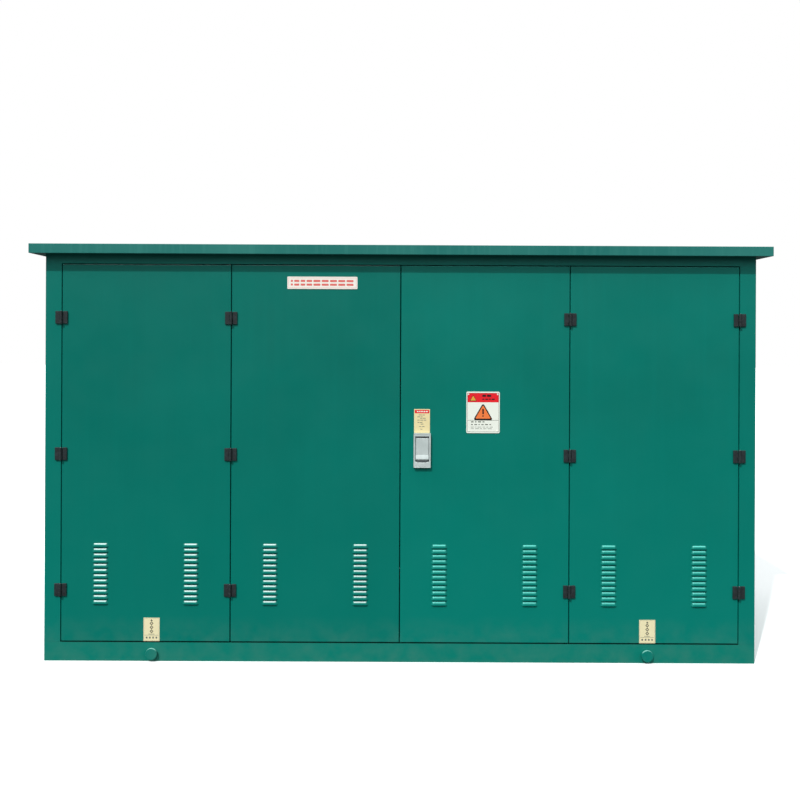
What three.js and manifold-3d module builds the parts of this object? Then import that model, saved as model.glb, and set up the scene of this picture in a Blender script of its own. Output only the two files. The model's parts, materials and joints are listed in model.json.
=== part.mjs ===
// A pad-mounted 10 kV cable branch cabinet: a welded channel base, folded sheet walls, a low hipped
// roof, two bi-fold door pairs hung on block hinges, a rod lock under a rain flap, pull-out lifting
// pins, and inside it an enclosed three-phase busbar with four cable ways.
// Millimetres, +Z up. The front faces -Y. The origin is on the ground, under the middle of the roof.
import * as THREE from "three";
import { ConvexGeometry } from "three/addons/geometries/ConvexGeometry.js";
import { mergeVertices } from "three/addons/utils/BufferGeometryUtils.js";
import Module from "manifold-3d";

const wasm = await Module();
wasm.setup();

// ---------------------------------------------------------------- driving dimensions

const GAP = 0.3; // between pieces that touch on the real cabinet
const SHEET = 2; // folded sheet steel

const eaves = { overhang: 50, bottom: 1745, skirt: 40, ridge: 55, ledge: 90 };
const body = { halfX: 1525, halfY: 500, top: eaves.bottom - GAP };
const FRONT = -body.halfY;
const base = { height: 80, web: 5, flange: 8, flangeWidth: 43, crossX: 490, crossHalf: 25 };
const wall = { bottom: base.height + GAP, foldX: 1505, innerX: 1502, fold: 20 };
const floor = { halfX: 1500, halfY: 455, thick: 3 };

const opening = { halfX: 1457, top: 1706, rebate: 25, back: FRONT + 38 };
const door = { count: 4, gap: 4, bottom: 85, top: 1702, depth: 30, flange: 18 };
door.rib = { half: 30, clearBehind: 4, clearEnd: 40 };
door.width = (2 * opening.halfX - (door.count + 1) * door.gap) / door.count;
door.back = FRONT + door.depth;

const hinge = { axisOut: 7.5, reach: 26, height: 54, barrel: 6.5, pin: 2.5, leaf: 6 };
hinge.axisY = FRONT - hinge.axisOut;
hinge.levels = [306, 889, 1474];
hinge.stud = { half: 3.5, fromAxis: 15 };
hinge.strip = { near: 4.6, far: 24, thick: 4, end: 60 };

const louvre = { width: 64, pitch: 22.3, count: 12, lowest: 249, offset: 194, proud: 6, sheet: 1.3 };
const sideLouvre = { lowest: 1460, y: 250, count: 8 };

const lock = { x: 94, bottom: 837, top: 984, halfWidth: 36.5, face: -512, spindleZ: 905 };
lock.window = { half: 30, bottom: 859, top: 970 };
lock.cupBack = -488;
lock.pivot = { y: -508.5, z: 965.5 };
lock.pinionRadius = 12.2;
lock.rodOffset = 18.5;
lock.rodHalf = 5;
lock.driveY = [-487, -477];
lock.rods = { upper: [880, 1699], lower: [88, 930] };
lock.wing = { halfX: 22, y: [-505, -493], halfZ: 6 };
lock.flap = { foot: 869, fold: 882, bendLow: 955, bendHigh: 961 };
lock.guides = { upper: 1300, lower: 500 };

const bolt = { x: -40, y: -482, radius: 6, upper: [1480, 1699], lower: [88, 320] };
bolt.keeperHalf = 8;
bolt.guides = { upper: [1490, 1620], lower: [180, 310] };
bolt.knobs = { upper: 1560, lower: 240 };

const liftPin = { x: 1062, z: 34, radius: 20, head: 25, travel: 120, sleeveEnd: 433 };
liftPin.headFrom = 514;
liftPin.headTo = 506;
liftPin.stop = [312, 306];
liftPin.tail = 300;

const ways = [-840, -280, 280, 840];
const phasePitch = 150;
const cable = { y: -30, floorRadius: 60, clampRadius: 46 };
const tank = { halfX: 1180, front: 90, back: 450, bottom: 700, top: 1250, wall: 3 };
const stand = { x: 1100, half: 60, post: 50, plate: 8 };
const bushing = { z: 1000, flange: 70, hole: 43, body: 40 };
const rail = { halfX: 1230, back: 90 - GAP, front: 48, bottom: 330, top: 371, wall: 3 };

// ---------------------------------------------------------------- finishes

const finish = (color, roughness, metalness) =>
  new THREE.MeshStandardMaterial({ color, roughness, metalness });
const finishes = {
  greenPaint: finish(0x007165, 0.5, 0.1),
  hingeBlack: finish(0x2e3a3c, 0.55, 0.3),
  stainless: finish(0xc2cecc, 0.35, 0.9),
  zincSteel: finish(0x9aa0a2, 0.45, 0.8),
  signWhite: finish(0xf0efe4, 0.5, 0),
  labelCream: finish(0xf2e8bd, 0.6, 0),
  rubber: finish(0x1b1c1d, 0.85, 0),
  epoxy: finish(0x7a2a1c, 0.4, 0),
  copper: finish(0xb87244, 0.35, 1),
  panelGrey: finish(0xc9cbc8, 0.6, 0.1),
};

// ---------------------------------------------------------------- solids

const WELD = 1e-3;
const UP_PROFILE = new THREE.Matrix4().set(0, 0, 1, 0, 1, 0, 0, 0, 0, 1, 0, 0, 0, 0, 0, 1);

// A closed three.js geometry as a solid, with its shared corners merged and slivers dropped.
function solidOf(geometry) {
  const loose = geometry.index ? geometry.toNonIndexed() : geometry;
  const bare = new THREE.BufferGeometry().setAttribute("position", loose.getAttribute("position"));
  const welded = mergeVertices(bare, WELD);
  const corners = welded.index.array;
  const kept = [];
  for (let i = 0; i < corners.length; i += 3) {
    const [a, b, c] = [corners[i], corners[i + 1], corners[i + 2]];
    if (a !== b && b !== c && c !== a) kept.push(a, b, c);
  }
  return new wasm.Manifold(
    new wasm.Mesh({
      numProp: 3,
      vertProperties: welded.attributes.position.array,
      triVerts: Uint32Array.from(kept),
    }),
  );
}

function geometryOf(solid) {
  const mesh = solid.getMesh();
  const flat = new THREE.BufferGeometry();
  flat.setAttribute("position", new THREE.BufferAttribute(mesh.vertProperties, mesh.numProp));
  flat.setIndex(new THREE.BufferAttribute(mesh.triVerts, 1));
  const faceted = flat.toNonIndexed();
  faceted.computeVertexNormals();
  return faceted;
}

const join = (...solids) => solids.flat().reduce((whole, next) => whole.add(next));
const cut = (from, ...tools) => tools.flat().reduce((left, tool) => left.subtract(tool), from);

// A box between two limits on each axis, given in either order.
function block([x0, x1], [y0, y1], [z0, z1]) {
  const size = [x1 - x0, y1 - y0, z1 - z0].map(Math.abs);
  const middle = [x0 + x1, y0 + y1, z0 + z1].map((sum) => sum / 2);
  return solidOf(new THREE.BoxGeometry(...size).translate(...middle));
}

// A round bar from one point to another, along any direction.
function bar(from, to, radius, sides = 16) {
  const [start, end] = [new THREE.Vector3(...from), new THREE.Vector3(...to)];
  const along = end.clone().sub(start);
  const turn = new THREE.Quaternion().setFromUnitVectors(
    new THREE.Vector3(0, 1, 0),
    along.clone().normalize(),
  );
  const geometry = new THREE.CylinderGeometry(radius, radius, along.length(), sides);
  const middle = start.add(end).divideScalar(2);
  return solidOf(geometry.applyQuaternion(turn).translate(middle.x, middle.y, middle.z));
}

// A profile of [y, z] points, run along X between two limits.
function runAlongX(profile, [x0, x1]) {
  const shape = new THREE.Shape(profile.map(([y, z]) => new THREE.Vector2(y, z)));
  const run = new THREE.ExtrudeGeometry(shape, { depth: x1 - x0, bevelEnabled: false });
  return solidOf(run.applyMatrix4(UP_PROFILE).translate(x0, 0, 0));
}

// A profile of [radius, distance] points from axis to axis, turned about a line along Y.
function turnedAboutY(profile, [x, y, z], sides) {
  const points = profile.map(([radius, distance]) => new THREE.Vector2(radius, distance));
  return solidOf(new THREE.LatheGeometry(points, sides).translate(x, y, z));
}

const cabinet = new THREE.Group();

function place(name, solid, material) {
  const mesh = new THREE.Mesh(geometryOf(solid), material);
  mesh.name = name;
  cabinet.add(mesh);
}

// ---------------------------------------------------------------- base and floor

// The hole that a lock rod or slide bolt shoots into, in the base's top flange or the frame's head.
function keeper(x, levels) {
  const half = bolt.keeperHalf;
  return block([x - half, x + half], [bolt.y - half, bolt.y + half], levels);
}

function liftPinSites() {
  return [
    ["front_left", -1, -1],
    ["front_right", 1, -1],
    ["rear_left", -1, 1],
    ["rear_right", 1, 1],
  ].map(([name, sideX, sideY]) => ({ name, x: sideX * liftPin.x, sideY }));
}

function makeBase() {
  const { web, flange, flangeWidth, height } = base;
  const outer = block([-body.halfX, body.halfX], [-body.halfY, body.halfY], [0, height]);
  const [webX, webY] = [body.halfX - web, body.halfY - web];
  const hollow = block([-webX, webX], [-webY, webY], [flange, height - flange]);
  const [lipX, lipY] = [body.halfX - flangeWidth, body.halfY - flangeWidth];
  const well = block([-lipX, lipX], [-lipY, lipY], [-1, height + 1]);
  const ring = cut(outer, hollow, well);

  const crossMembers = [-base.crossX, base.crossX].map((x) => {
    const wide = [x - base.crossHalf, x + base.crossHalf];
    return join(
      block([x - 3, x + 3], [-webY - 1, webY + 1], [flange - 1, height - flange + 1]),
      block(wide, [-lipY - 1, lipY + 1], [0, flange]),
      block(wide, [-lipY - 1, lipY + 1], [height - flange, height]),
    );
  });

  const sleeveRadius = liftPin.z - flange + 1;
  const along = (site, from, to, radius) =>
    bar([site.x, site.sideY * from, liftPin.z], [site.x, site.sideY * to, liftPin.z], radius, 14);
  const sleeves = liftPinSites().map((site) =>
    along(site, body.halfY - 1, liftPin.sleeveEnd, sleeveRadius),
  );
  const bores = liftPinSites().map((site) =>
    along(site, body.halfY + 5, liftPin.sleeveEnd - 5, liftPin.radius + 0.5),
  );
  const throughFlange = [height - flange - 1, height + 1];
  const keepers = [lock.x + lock.rodOffset, bolt.x].map((x) => keeper(x, throughFlange));
  place("base_frame", cut(join(ring, crossMembers, sleeves), bores, keepers), finishes.greenPaint);

  for (const site of liftPinSites()) {
    const pin = join(
      along(site, liftPin.headFrom, liftPin.headTo, liftPin.head),
      along(site, liftPin.headTo + 1, liftPin.tail, liftPin.radius),
      along(site, liftPin.stop[0], liftPin.stop[1], liftPin.head),
    );
    place(`lifting_pin_${site.name}`, pin, finishes.greenPaint);
  }
}

function makeFloor() {
  const level = [wall.bottom, wall.bottom + floor.thick];
  const plate = block([-floor.halfX, floor.halfX], [-floor.halfY, floor.halfY], level);
  const holes = ways.map((x) =>
    bar([x, cable.y, level[0] - 1], [x, cable.y, level[1] + 1], cable.floorRadius, 24),
  );
  place("floor_plate", cut(plate, holes), finishes.zincSteel);
}

// ---------------------------------------------------------------- walls and roof

// The two solids that turn flat sheet into one pressed louvre: the hood in front, and the
// hollow behind it that opens downwards. `out` is how far forward of the sheet's face a point is.
function louvreProfiles() {
  const { proud, sheet } = louvre;
  const hood = [
    [-1, 8],
    [0, 8],
    [proud, 1],
    [proud, -7],
    [-1, -7],
  ];
  const hollow = [
    [-3, 5],
    [proud - sheet, 0],
    [proud - sheet, -8],
    [0, -7],
    [-3, -7],
  ];
  return { hood, hollow };
}

// A vertical bank of louvres on a sheet whose face is the plane y = 0, facing -Y, centred on x = 0.
function louvreBank(lowest, count) {
  const { hood, hollow } = louvreProfiles();
  const half = louvre.width / 2;
  const at = (profile, z, reach) =>
    runAlongX(
      profile.map(([out, up]) => [-out, z + up]),
      [-reach, reach],
    );
  const levels = Array.from({ length: count }, (_, i) => lowest + i * louvre.pitch);
  return {
    hoods: join(levels.map((z) => at(hood, z, half))),
    hollows: join(levels.map((z) => at(hollow, z, half - louvre.sheet))),
  };
}

function makeSidePanels() {
  const bank = louvreBank(sideLouvre.lowest, sideLouvre.count);
  const endY = body.halfY - SHEET - GAP;
  const [low, high] = [wall.bottom, body.top];
  for (const [name, side] of [
    ["left_side_panel", -1],
    ["right_side_panel", 1],
  ]) {
    const [outer, inner] = [side * body.halfX, side * (body.halfX - SHEET)];
    const fold = side * wall.foldX;
    const pan = cut(
      block([outer, fold], [-endY, endY], [low, high]),
      block([inner, fold - side], [-endY + SHEET, endY - SHEET], [low + SHEET, high - SHEET]),
    );
    const onSide = (solid) => solid.rotate([0, 0, side * 90]).translate([outer, sideLouvre.y, 0]);
    const panel = cut(join(pan, onSide(bank.hoods)), onSide(bank.hollows));
    place(name, panel, finishes.greenPaint);
  }
}

function makeRearPanels() {
  const skin = body.halfY - SHEET;
  const fold = skin - wall.fold;
  const [low, high] = [wall.bottom, body.top];
  for (const [name, side] of [
    ["rear_panel_left", -1],
    ["rear_panel_right", 1],
  ]) {
    const ribX = (side * body.halfX) / 2;
    const pan = cut(
      block([side * GAP, side * body.halfX], [fold, body.halfY], [low, high]),
      block([side * wall.innerX, side * (body.halfX + 1)], [fold - 1, skin], [low - 1, high + 1]),
      block(
        [side * (GAP + SHEET), side * (wall.innerX - SHEET)],
        [fold - 1, skin],
        [low + SHEET, high - SHEET],
      ),
    );
    const rib = block([ribX - 25, ribX + 25], [fold + 2, skin + 1], [low + 60, high - 60]);
    place(name, join(pan, rib), finishes.greenPaint);
  }
}

function makeFrontFrame() {
  const [low, high] = [wall.bottom, body.top];
  const rebateX = opening.halfX - opening.rebate;
  const inside = [FRONT + SHEET, opening.back - SHEET];
  const blank = block([-body.halfX, body.halfX], [FRONT, opening.back], [low, high]);
  const doorway = block(
    [-opening.halfX, opening.halfX],
    [FRONT - 1, opening.back - SHEET],
    [low - 1, opening.top],
  );
  const rebate = block(
    [-rebateX, rebateX],
    [opening.back - SHEET - 1, opening.back + 1],
    [door.bottom + opening.rebate, opening.top - opening.rebate],
  );
  const headHollow = block(
    [-opening.halfX - 10, opening.halfX + 10],
    inside,
    [opening.top + SHEET, high - SHEET],
  );
  const beyond = body.halfX + 1;
  const sides = [-1, 1].flatMap((side) => [
    block([side * (opening.halfX + SHEET), side * beyond], inside, [low - 1, high - SHEET]),
    block(
      [side * wall.innerX, side * beyond],
      [FRONT + SHEET, opening.back + 1],
      [low - 1, high + 1],
    ),
    ...studHoles(side * (opening.halfX - door.gap / 2), side),
  ]);
  const throughHead = [opening.top - 1, opening.top + SHEET + 1];
  const keepers = [lock.x - lock.rodOffset, bolt.x].map((x) => keeper(x, throughHead));
  const frame = cut(blank, doorway, rebate, headHollow, sides, keepers);
  place("front_frame", frame, finishes.greenPaint);
}

function makeSeal() {
  const [outer, inner] = [opening.halfX - 9, opening.halfX - 21];
  const depth = [door.back + GAP, opening.back - SHEET - GAP];
  const [low, high] = [door.bottom + 5, door.top - 5];
  const ring = cut(
    block([-outer, outer], depth, [low, high]),
    block([-inner, inner], [depth[0] - 1, depth[1] + 1], [low + 12, high - 12]),
  );
  place("door_seal", ring, finishes.rubber);
}

// The convex roof body, `inset` sheet thicknesses inside its outer surface.
function roofBody(inset, bottom) {
  const halfX = body.halfX + eaves.overhang - inset;
  const halfY = body.halfY + eaves.overhang - inset;
  const edge = eaves.bottom + eaves.skirt - inset;
  const ridgeX = halfX - halfY;
  const points = [];
  for (const sx of [-1, 1]) {
    for (const sy of [-1, 1]) {
      points.push(new THREE.Vector3(sx * halfX, sy * halfY, bottom));
      points.push(new THREE.Vector3(sx * halfX, sy * halfY, edge));
    }
    points.push(new THREE.Vector3(sx * ridgeX, 0, edge + eaves.ridge));
  }
  return solidOf(new ConvexGeometry(points));
}

function makeRoof() {
  const shell = cut(roofBody(0, eaves.bottom), roofBody(SHEET, eaves.bottom - 1));
  const [outerX, outerY] = [body.halfX + eaves.overhang, body.halfY + eaves.overhang];
  const [innerX, innerY] = [outerX - eaves.ledge, outerY - eaves.ledge];
  const ledge = [eaves.bottom, eaves.bottom + SHEET];
  const soffit = cut(
    block([-outerX + 1, outerX - 1], [-outerY + 1, outerY - 1], ledge),
    block([-innerX, innerX], [-innerY, innerY], [ledge[0] - 1, ledge[1] + 1]),
  );
  place("roof", join(shell, soffit), finishes.greenPaint);
}

// ---------------------------------------------------------------- hinges

// Three hinge leaves on one side of a vertical axis, with the strip behind the sheet that their
// studs are fixed to. `side` is the direction the leaves reach; the leaves that carry the pin have
// the top and bottom knuckles, and the others have the middle one.
function hingeLeaves(axisX, side, hasPin) {
  const { axisY, reach, height, barrel, pin, leaf, stud, strip, levels } = hinge;
  const third = height / 3;
  const plateY = [FRONT - GAP, FRONT - GAP - leaf];
  const clear = barrel + 0.7;
  const across = (near, far) => [axisX + side * near, axisX + side * far];
  const knuckle = (z0, z1, radius = barrel, sides = 12) =>
    bar([axisX, axisY, z0], [axisX, axisY, z1], radius, sides);
  const neck = (z0, z1) => block(across(0, clear + 1), plateY, [z0, z1]);

  const leafAt = (z) => {
    const [low, high] = [z - height / 2, z + height / 2];
    const [lowJoint, highJoint] = [low + third, high - third];
    const plate = block(across(clear, reach), plateY, [low, high]);
    const shank = block(
      across(stud.fromAxis - stud.half, stud.fromAxis + stud.half),
      [FRONT - 1, FRONT + SHEET + 1],
      [z - stud.half, z + stud.half],
    );
    if (hasPin) {
      const ends = [
        [low, lowJoint - 0.25],
        [highJoint + 0.25, high],
      ];
      const knuckles = ends.map(([z0, z1]) => join(knuckle(z0, z1), neck(z0, z1)));
      return join(plate, shank, knuckles, knuckle(low + 1, high - 1, pin, 8));
    }
    const middle = [lowJoint + 0.25, highJoint - 0.25];
    const round = join(knuckle(...middle), neck(...middle));
    return join(plate, shank, cut(round, knuckle(low, high, pin + 0.5, 8)));
  };

  const backing = block(
    across(strip.near, strip.far),
    [FRONT + SHEET + GAP, FRONT + SHEET + GAP + strip.thick],
    [levels[0] - strip.end, levels.at(-1) + strip.end],
  );
  return join(levels.map(leafAt), backing);
}

// The square holes in a sheet that a line of hinge studs passes through.
function studHoles(axisX, side) {
  const x = axisX + side * hinge.stud.fromAxis;
  const half = hinge.stud.half + 0.5;
  return hinge.levels.map((z) =>
    block([x - half, x + half], [FRONT - 1, FRONT + SHEET + 1], [z - half, z + half]),
  );
}

function makeHinges() {
  const frameAxis = opening.halfX - door.gap / 2;
  const foldAxis = frameAxis - door.width - door.gap;
  for (const [name, side] of [
    ["left", -1],
    ["right", 1],
  ]) {
    const leaves = [
      ["frame_hinge_fixed_leaves", frameAxis, side, true],
      ["frame_hinge_door_leaves", frameAxis, -side, false],
      ["fold_hinge_outer_leaves", foldAxis, side, true],
      ["fold_hinge_inner_leaves", foldAxis, -side, false],
    ];
    for (const [suffix, axis, reachSide, hasPin] of leaves) {
      const solid = hingeLeaves(side * axis, reachSide, hasPin);
      place(`${name}_${suffix}`, solid, finishes.hingeBlack);
    }
  }
}

// ---------------------------------------------------------------- doors

// A folded door pan with its rib, louvres and hinge stud holes. `index` counts from the left.
function doorPan(index) {
  const x0 = -opening.halfX + door.gap + index * (door.width + door.gap);
  const x1 = x0 + door.width;
  const middle = (x0 + x1) / 2;
  const [low, high] = [door.bottom, door.top];
  const { flange } = door;
  const pan = cut(
    block([x0, x1], [FRONT, door.back], [low, high]),
    block(
      [x0 + SHEET, x1 - SHEET],
      [FRONT + SHEET, door.back - SHEET],
      [low + SHEET, high - SHEET],
    ),
    block(
      [x0 + flange, x1 - flange],
      [door.back - SHEET - 1, door.back + 1],
      [low + flange, high - flange],
    ),
  );
  const rib = block(
    [middle - door.rib.half, middle + door.rib.half],
    [FRONT + SHEET - 1, door.back - door.rib.clearBehind],
    [low + door.rib.clearEnd, high - door.rib.clearEnd],
  );
  const bank = louvreBank(louvre.lowest, louvre.count);
  const columns = [middle - louvre.offset, middle + louvre.offset];
  const across = (solid) => columns.map((x) => solid.translate([x, FRONT, 0]));
  const edges = [
    [x0 - door.gap / 2, 1],
    [x1 + door.gap / 2, -1],
  ].filter(([axis]) => Math.abs(axis) > door.gap);
  const studs = edges.flatMap(([axis, side]) => studHoles(axis, side));
  return cut(join(pan, rib, across(bank.hoods)), across(bank.hollows), studs);
}

// A small plate welded across the inside of a door, which a rod or bolt slides through.
function rodGuide(x, z) {
  return block([x - 14, x + 14], [FRONT + SHEET - 1, door.back - 3], [z, z + 3]);
}

// The passages for a rod or bolt of a given half width: its guides, and the door's end fold.
function rodPassage(x, y, half, levels) {
  return block([x - half, x + half], [y - half, y + half], levels);
}

function makeDoors() {
  const rodY = (lock.driveY[0] + lock.driveY[1]) / 2;
  const rodGap = lock.rodHalf + 0.8;
  const boltGap = bolt.radius + 0.8;
  const [upX, downX] = [lock.x - lock.rodOffset, lock.x + lock.rodOffset];

  place("door_left_outer", doorPan(0), finishes.greenPaint);

  const boltGuides = [...bolt.guides.upper, ...bolt.guides.lower].map((z) => rodGuide(bolt.x, z));
  const leftInner = cut(
    join(doorPan(1), boltGuides),
    rodPassage(bolt.x, bolt.y, boltGap, [bolt.guides.upper[0] - 5, door.top + 1]),
    rodPassage(bolt.x, bolt.y, boltGap, [door.bottom - 1, bolt.guides.lower[1] + 5]),
  );
  place("door_left_inner", leftInner, finishes.greenPaint);

  const { window } = lock;
  const cutOut = block(
    [lock.x - window.half - 3, lock.x + window.half + 3],
    [FRONT - 1, FRONT + SHEET + 1],
    [window.bottom - 8, window.top + 6],
  );
  const rightInner = cut(
    join(doorPan(2), rodGuide(upX, lock.guides.upper), rodGuide(downX, lock.guides.lower)),
    cutOut,
    rodPassage(upX, rodY, rodGap, [lock.guides.upper - 5, door.top + 1]),
    rodPassage(downX, rodY, rodGap, [door.bottom - 1, lock.guides.lower + 5]),
  );
  place("door_right_inner", rightInner, finishes.greenPaint);

  place("door_right_outer", doorPan(3), finishes.greenPaint);
}

// ---------------------------------------------------------------- lock and slide bolts

function makeLock() {
  const { x, window, pivot, spindleZ, driveY, flap: fold, wing, rods } = lock;
  const cupWall = 2;
  const recess = block(
    [x - window.half, x + window.half],
    [lock.face - 1, lock.cupBack - cupWall],
    [window.bottom, window.top],
  );
  const shell = join(
    block([x - lock.halfWidth, x + lock.halfWidth], [lock.face, FRONT - GAP], [lock.bottom, lock.top]),
    block(
      [x - window.half - cupWall, x + window.half + cupWall],
      [FRONT - 1, lock.cupBack],
      [window.bottom - cupWall, window.top + cupWall],
    ),
  );
  const reach = window.half + 4;
  const pivotBore = bar([x - reach, pivot.y, pivot.z], [x + reach, pivot.y, pivot.z], 1.9, 10);
  const spindleBore = bar([x, lock.cupBack - 5, spindleZ], [x, lock.cupBack + 5, spindleZ], 6.6);
  place("lock_case", cut(shell, recess, pivotBore, spindleBore), finishes.stainless);

  const flapProfile = [
    [pivot.y + 1, pivot.z],
    [pivot.y - 2.5, pivot.z],
    [pivot.y - 2.5, fold.fold],
    [pivot.y, fold.foot],
    [pivot.y + 2, fold.foot],
    [pivot.y - 0.5, fold.fold],
    [pivot.y - 0.5, fold.bendLow],
    [pivot.y + 1, fold.bendHigh],
  ];
  const flapHalf = window.half - 0.9;
  const flap = join(
    runAlongX(flapProfile, [x - flapHalf, x + flapHalf]),
    bar([x - flapHalf, pivot.y, pivot.z], [x + flapHalf, pivot.y, pivot.z], 2.5, 12),
    bar([x - reach + 1, pivot.y, pivot.z], [x + reach - 1, pivot.y, pivot.z], 1.4, 8),
  );
  place("lock_flap", flap, finishes.stainless);

  const grip = block(
    [x - wing.halfX, x + wing.halfX],
    wing.y,
    [spindleZ - wing.halfZ, spindleZ + wing.halfZ],
  );
  const spindle = bar([x, wing.y[1] - 1, spindleZ], [x, driveY[1] + 2, spindleZ], 6);
  place("lock_handle", join(grip, spindle), finishes.zincSteel);

  const disc = bar([x, driveY[0], spindleZ], [x, driveY[1], spindleZ], lock.pinionRadius, 24);
  const bore = bar([x, driveY[0] - 1, spindleZ], [x, driveY[1] + 1, spindleZ], 6.4);
  place("lock_pinion", cut(disc, bore), finishes.zincSteel);

  const rod = (centre, levels) =>
    block([centre - lock.rodHalf, centre + lock.rodHalf], driveY, levels);
  place("lock_rod_upper", rod(x - lock.rodOffset, rods.upper), finishes.zincSteel);
  place("lock_rod_lower", rod(x + lock.rodOffset, rods.lower), finishes.zincSteel);
}

function makeSlideBolts() {
  for (const end of ["upper", "lower"]) {
    const [low, high] = bolt[end];
    const knobZ = bolt.knobs[end];
    const shank = bar([bolt.x, bolt.y, low], [bolt.x, bolt.y, high], bolt.radius, 12);
    const knob = bar([bolt.x, bolt.y, knobZ], [bolt.x, bolt.y + 30, knobZ], 5, 12);
    place(`slide_bolt_${end}`, join(shank, knob), finishes.zincSteel);
  }
}

// ---------------------------------------------------------------- signs and labels

function makeSigns() {
  const plate = (name, [x, z], [width, height], thick, material) => {
    const across = [x - width / 2, x + width / 2];
    const up = [z - height / 2, z + height / 2];
    place(name, block(across, [FRONT - GAP, FRONT - GAP - thick], up), material);
  };
  plate("name_plate", [-337, 1627], [301, 53], 1.5, finishes.signWhite);
  plate("danger_sign", [355, 1074], [143, 178], 1.5, finishes.signWhite);
  plate("lock_label", [93, 1036], [68, 102], 0.8, finishes.labelCream);
  plate("lifting_label_left", [-1064, 136], [69, 100], 0.8, finishes.labelCream);
  plate("lifting_label_right", [1064, 136], [69, 100], 0.8, finishes.labelCream);
}

// ---------------------------------------------------------------- busbar enclosure and its ways

function bushingSites() {
  return ways.flatMap((wayX, way) =>
    [-1, 0, 1].map((phase) => ({
      name: `bushing_way${way + 1}_phase${phase + 2}`,
      x: wayX + phase * phasePitch,
      phase,
    })),
  );
}

function makeEnclosure() {
  const { halfX, front, back, bottom, top, wall: thick } = tank;
  const outer = block([-halfX, halfX], [front, back], [bottom, top]);
  const inner = block(
    [-halfX + thick, halfX - thick],
    [front + thick, back - thick],
    [bottom + thick, top + 1],
  );
  const holes = bushingSites().map((site) =>
    bar([site.x, front - 1, bushing.z], [site.x, front + thick + 1, bushing.z], bushing.hole, 12),
  );
  place("busbar_enclosure", cut(outer, inner, holes), finishes.stainless);

  const cover = cut(
    block([-halfX - 6, halfX + 6], [front - 6, back + 6], [top - 17, top + GAP + 3]),
    block([-halfX - 3, halfX + 3], [front - 3, back + 3], [top - 18, top + GAP]),
  );
  place("enclosure_cover", cover, finishes.stainless);

  for (const [name, side] of [
    ["left", -1],
    ["right", 1],
  ]) {
    const x = side * stand.x;
    const wide = [x - stand.half, x + stand.half];
    const narrow = [x - stand.post / 2, x + stand.post / 2];
    const foot = wall.bottom + floor.thick + GAP;
    const head = bottom - GAP;
    const frame = join(
      block(wide, [front, back], [foot, foot + stand.plate]),
      block(wide, [front, back], [head - stand.plate, head]),
      block(narrow, [front, front + stand.post], [foot, head]),
      block(narrow, [back - stand.post, back], [foot, head]),
    );
    place(`enclosure_stand_${name}`, frame, finishes.zincSteel);
  }
}

// A wall bushing: a tapered plug in front of the enclosure, a flange, and a tail with its stud inside.
function makeBushings() {
  const inFront = tank.front - GAP;
  const profile = [
    [0, inFront - 165],
    [9, inFront - 165],
    [9, inFront - 145],
    [23, inFront - 145],
    [30, inFront - 15],
    [bushing.flange, inFront - 15],
    [bushing.flange, inFront],
    [bushing.body, inFront],
    [bushing.body - 10, inFront + 105],
    [0, inFront + 105],
  ];
  for (const site of bushingSites()) {
    place(site.name, turnedAboutY(profile, [site.x, 0, bushing.z], 12), finishes.epoxy);
  }
}

// One copper bar for each phase, with a link from it to that phase's bushing in each way.
function makeBusbars() {
  const linkY = tank.front + 105;
  const plans = [
    { phase: -1, barZ: bushing.z + 120, barY: linkY + 8 },
    { phase: 0, barZ: bushing.z, barY: linkY + 130 },
    { phase: 1, barZ: bushing.z - 120, barY: linkY + 8 },
  ];
  for (const { phase, barZ, barY } of plans) {
    const long = block([-1100, 1100], [barY, barY + 8], [barZ - 25, barZ + 25]);
    const links = bushingSites()
      .filter((site) => site.phase === phase)
      .map(({ x }) => {
        const wide = [x - 20, x + 20];
        if (phase === 0) return block(wide, [linkY, barY + 1], [barZ - 4, barZ + 4]);
        const ends = [bushing.z - Math.sign(phase) * -20, barZ];
        return block(wide, [linkY, barY + 1], [Math.min(...ends), Math.max(...ends)]);
      });
    place(`busbar_phase_${phase + 2}`, join(long, links), finishes.copper);
  }
}

function makeCableSupports() {
  const { halfX, front, back, bottom, top, wall: thick } = rail;
  const channel = cut(
    block([-halfX, halfX], [front, back], [bottom, top]),
    block([-halfX - 1, halfX + 1], [front - 1, back - thick], [bottom + thick, top - thick]),
  );
  const clampY = [cable.y - 65, front + 0.5];
  const clamps = ways.map((x) =>
    cut(
      block([x - 75, x + 75], clampY, [bottom, top]),
      bar([x, cable.y, bottom - 1], [x, cable.y, top + 1], cable.clampRadius, 24),
    ),
  );
  place("cable_clamp_rail", join(channel, clamps), finishes.zincSteel);

  const inFront = tank.front - GAP;
  const earthBar = block([-1180, 1180], [inFront - 5, inFront], [160, 200]);
  place("earth_bar", earthBar, finishes.copper);
  const indicator = block([-110, 110], [inFront - 45, inFront], [1110, 1220]);
  place("live_line_indicator", indicator, finishes.panelGrey);
}

makeBase();
makeFloor();
makeSidePanels();
makeRearPanels();
makeFrontFrame();
makeSeal();
makeRoof();
makeHinges();
makeDoors();
makeLock();
makeSlideBolts();
makeSigns();
makeEnclosure();
makeBushings();
makeBusbars();
makeCableSupports();

export default cabinet;
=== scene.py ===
"""The looks of a pad-mounted cable branch cabinet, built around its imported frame. Metres, +Z up."""

import json
import math

import bmesh
import bpy
from mathutils import Matrix, Vector

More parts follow.
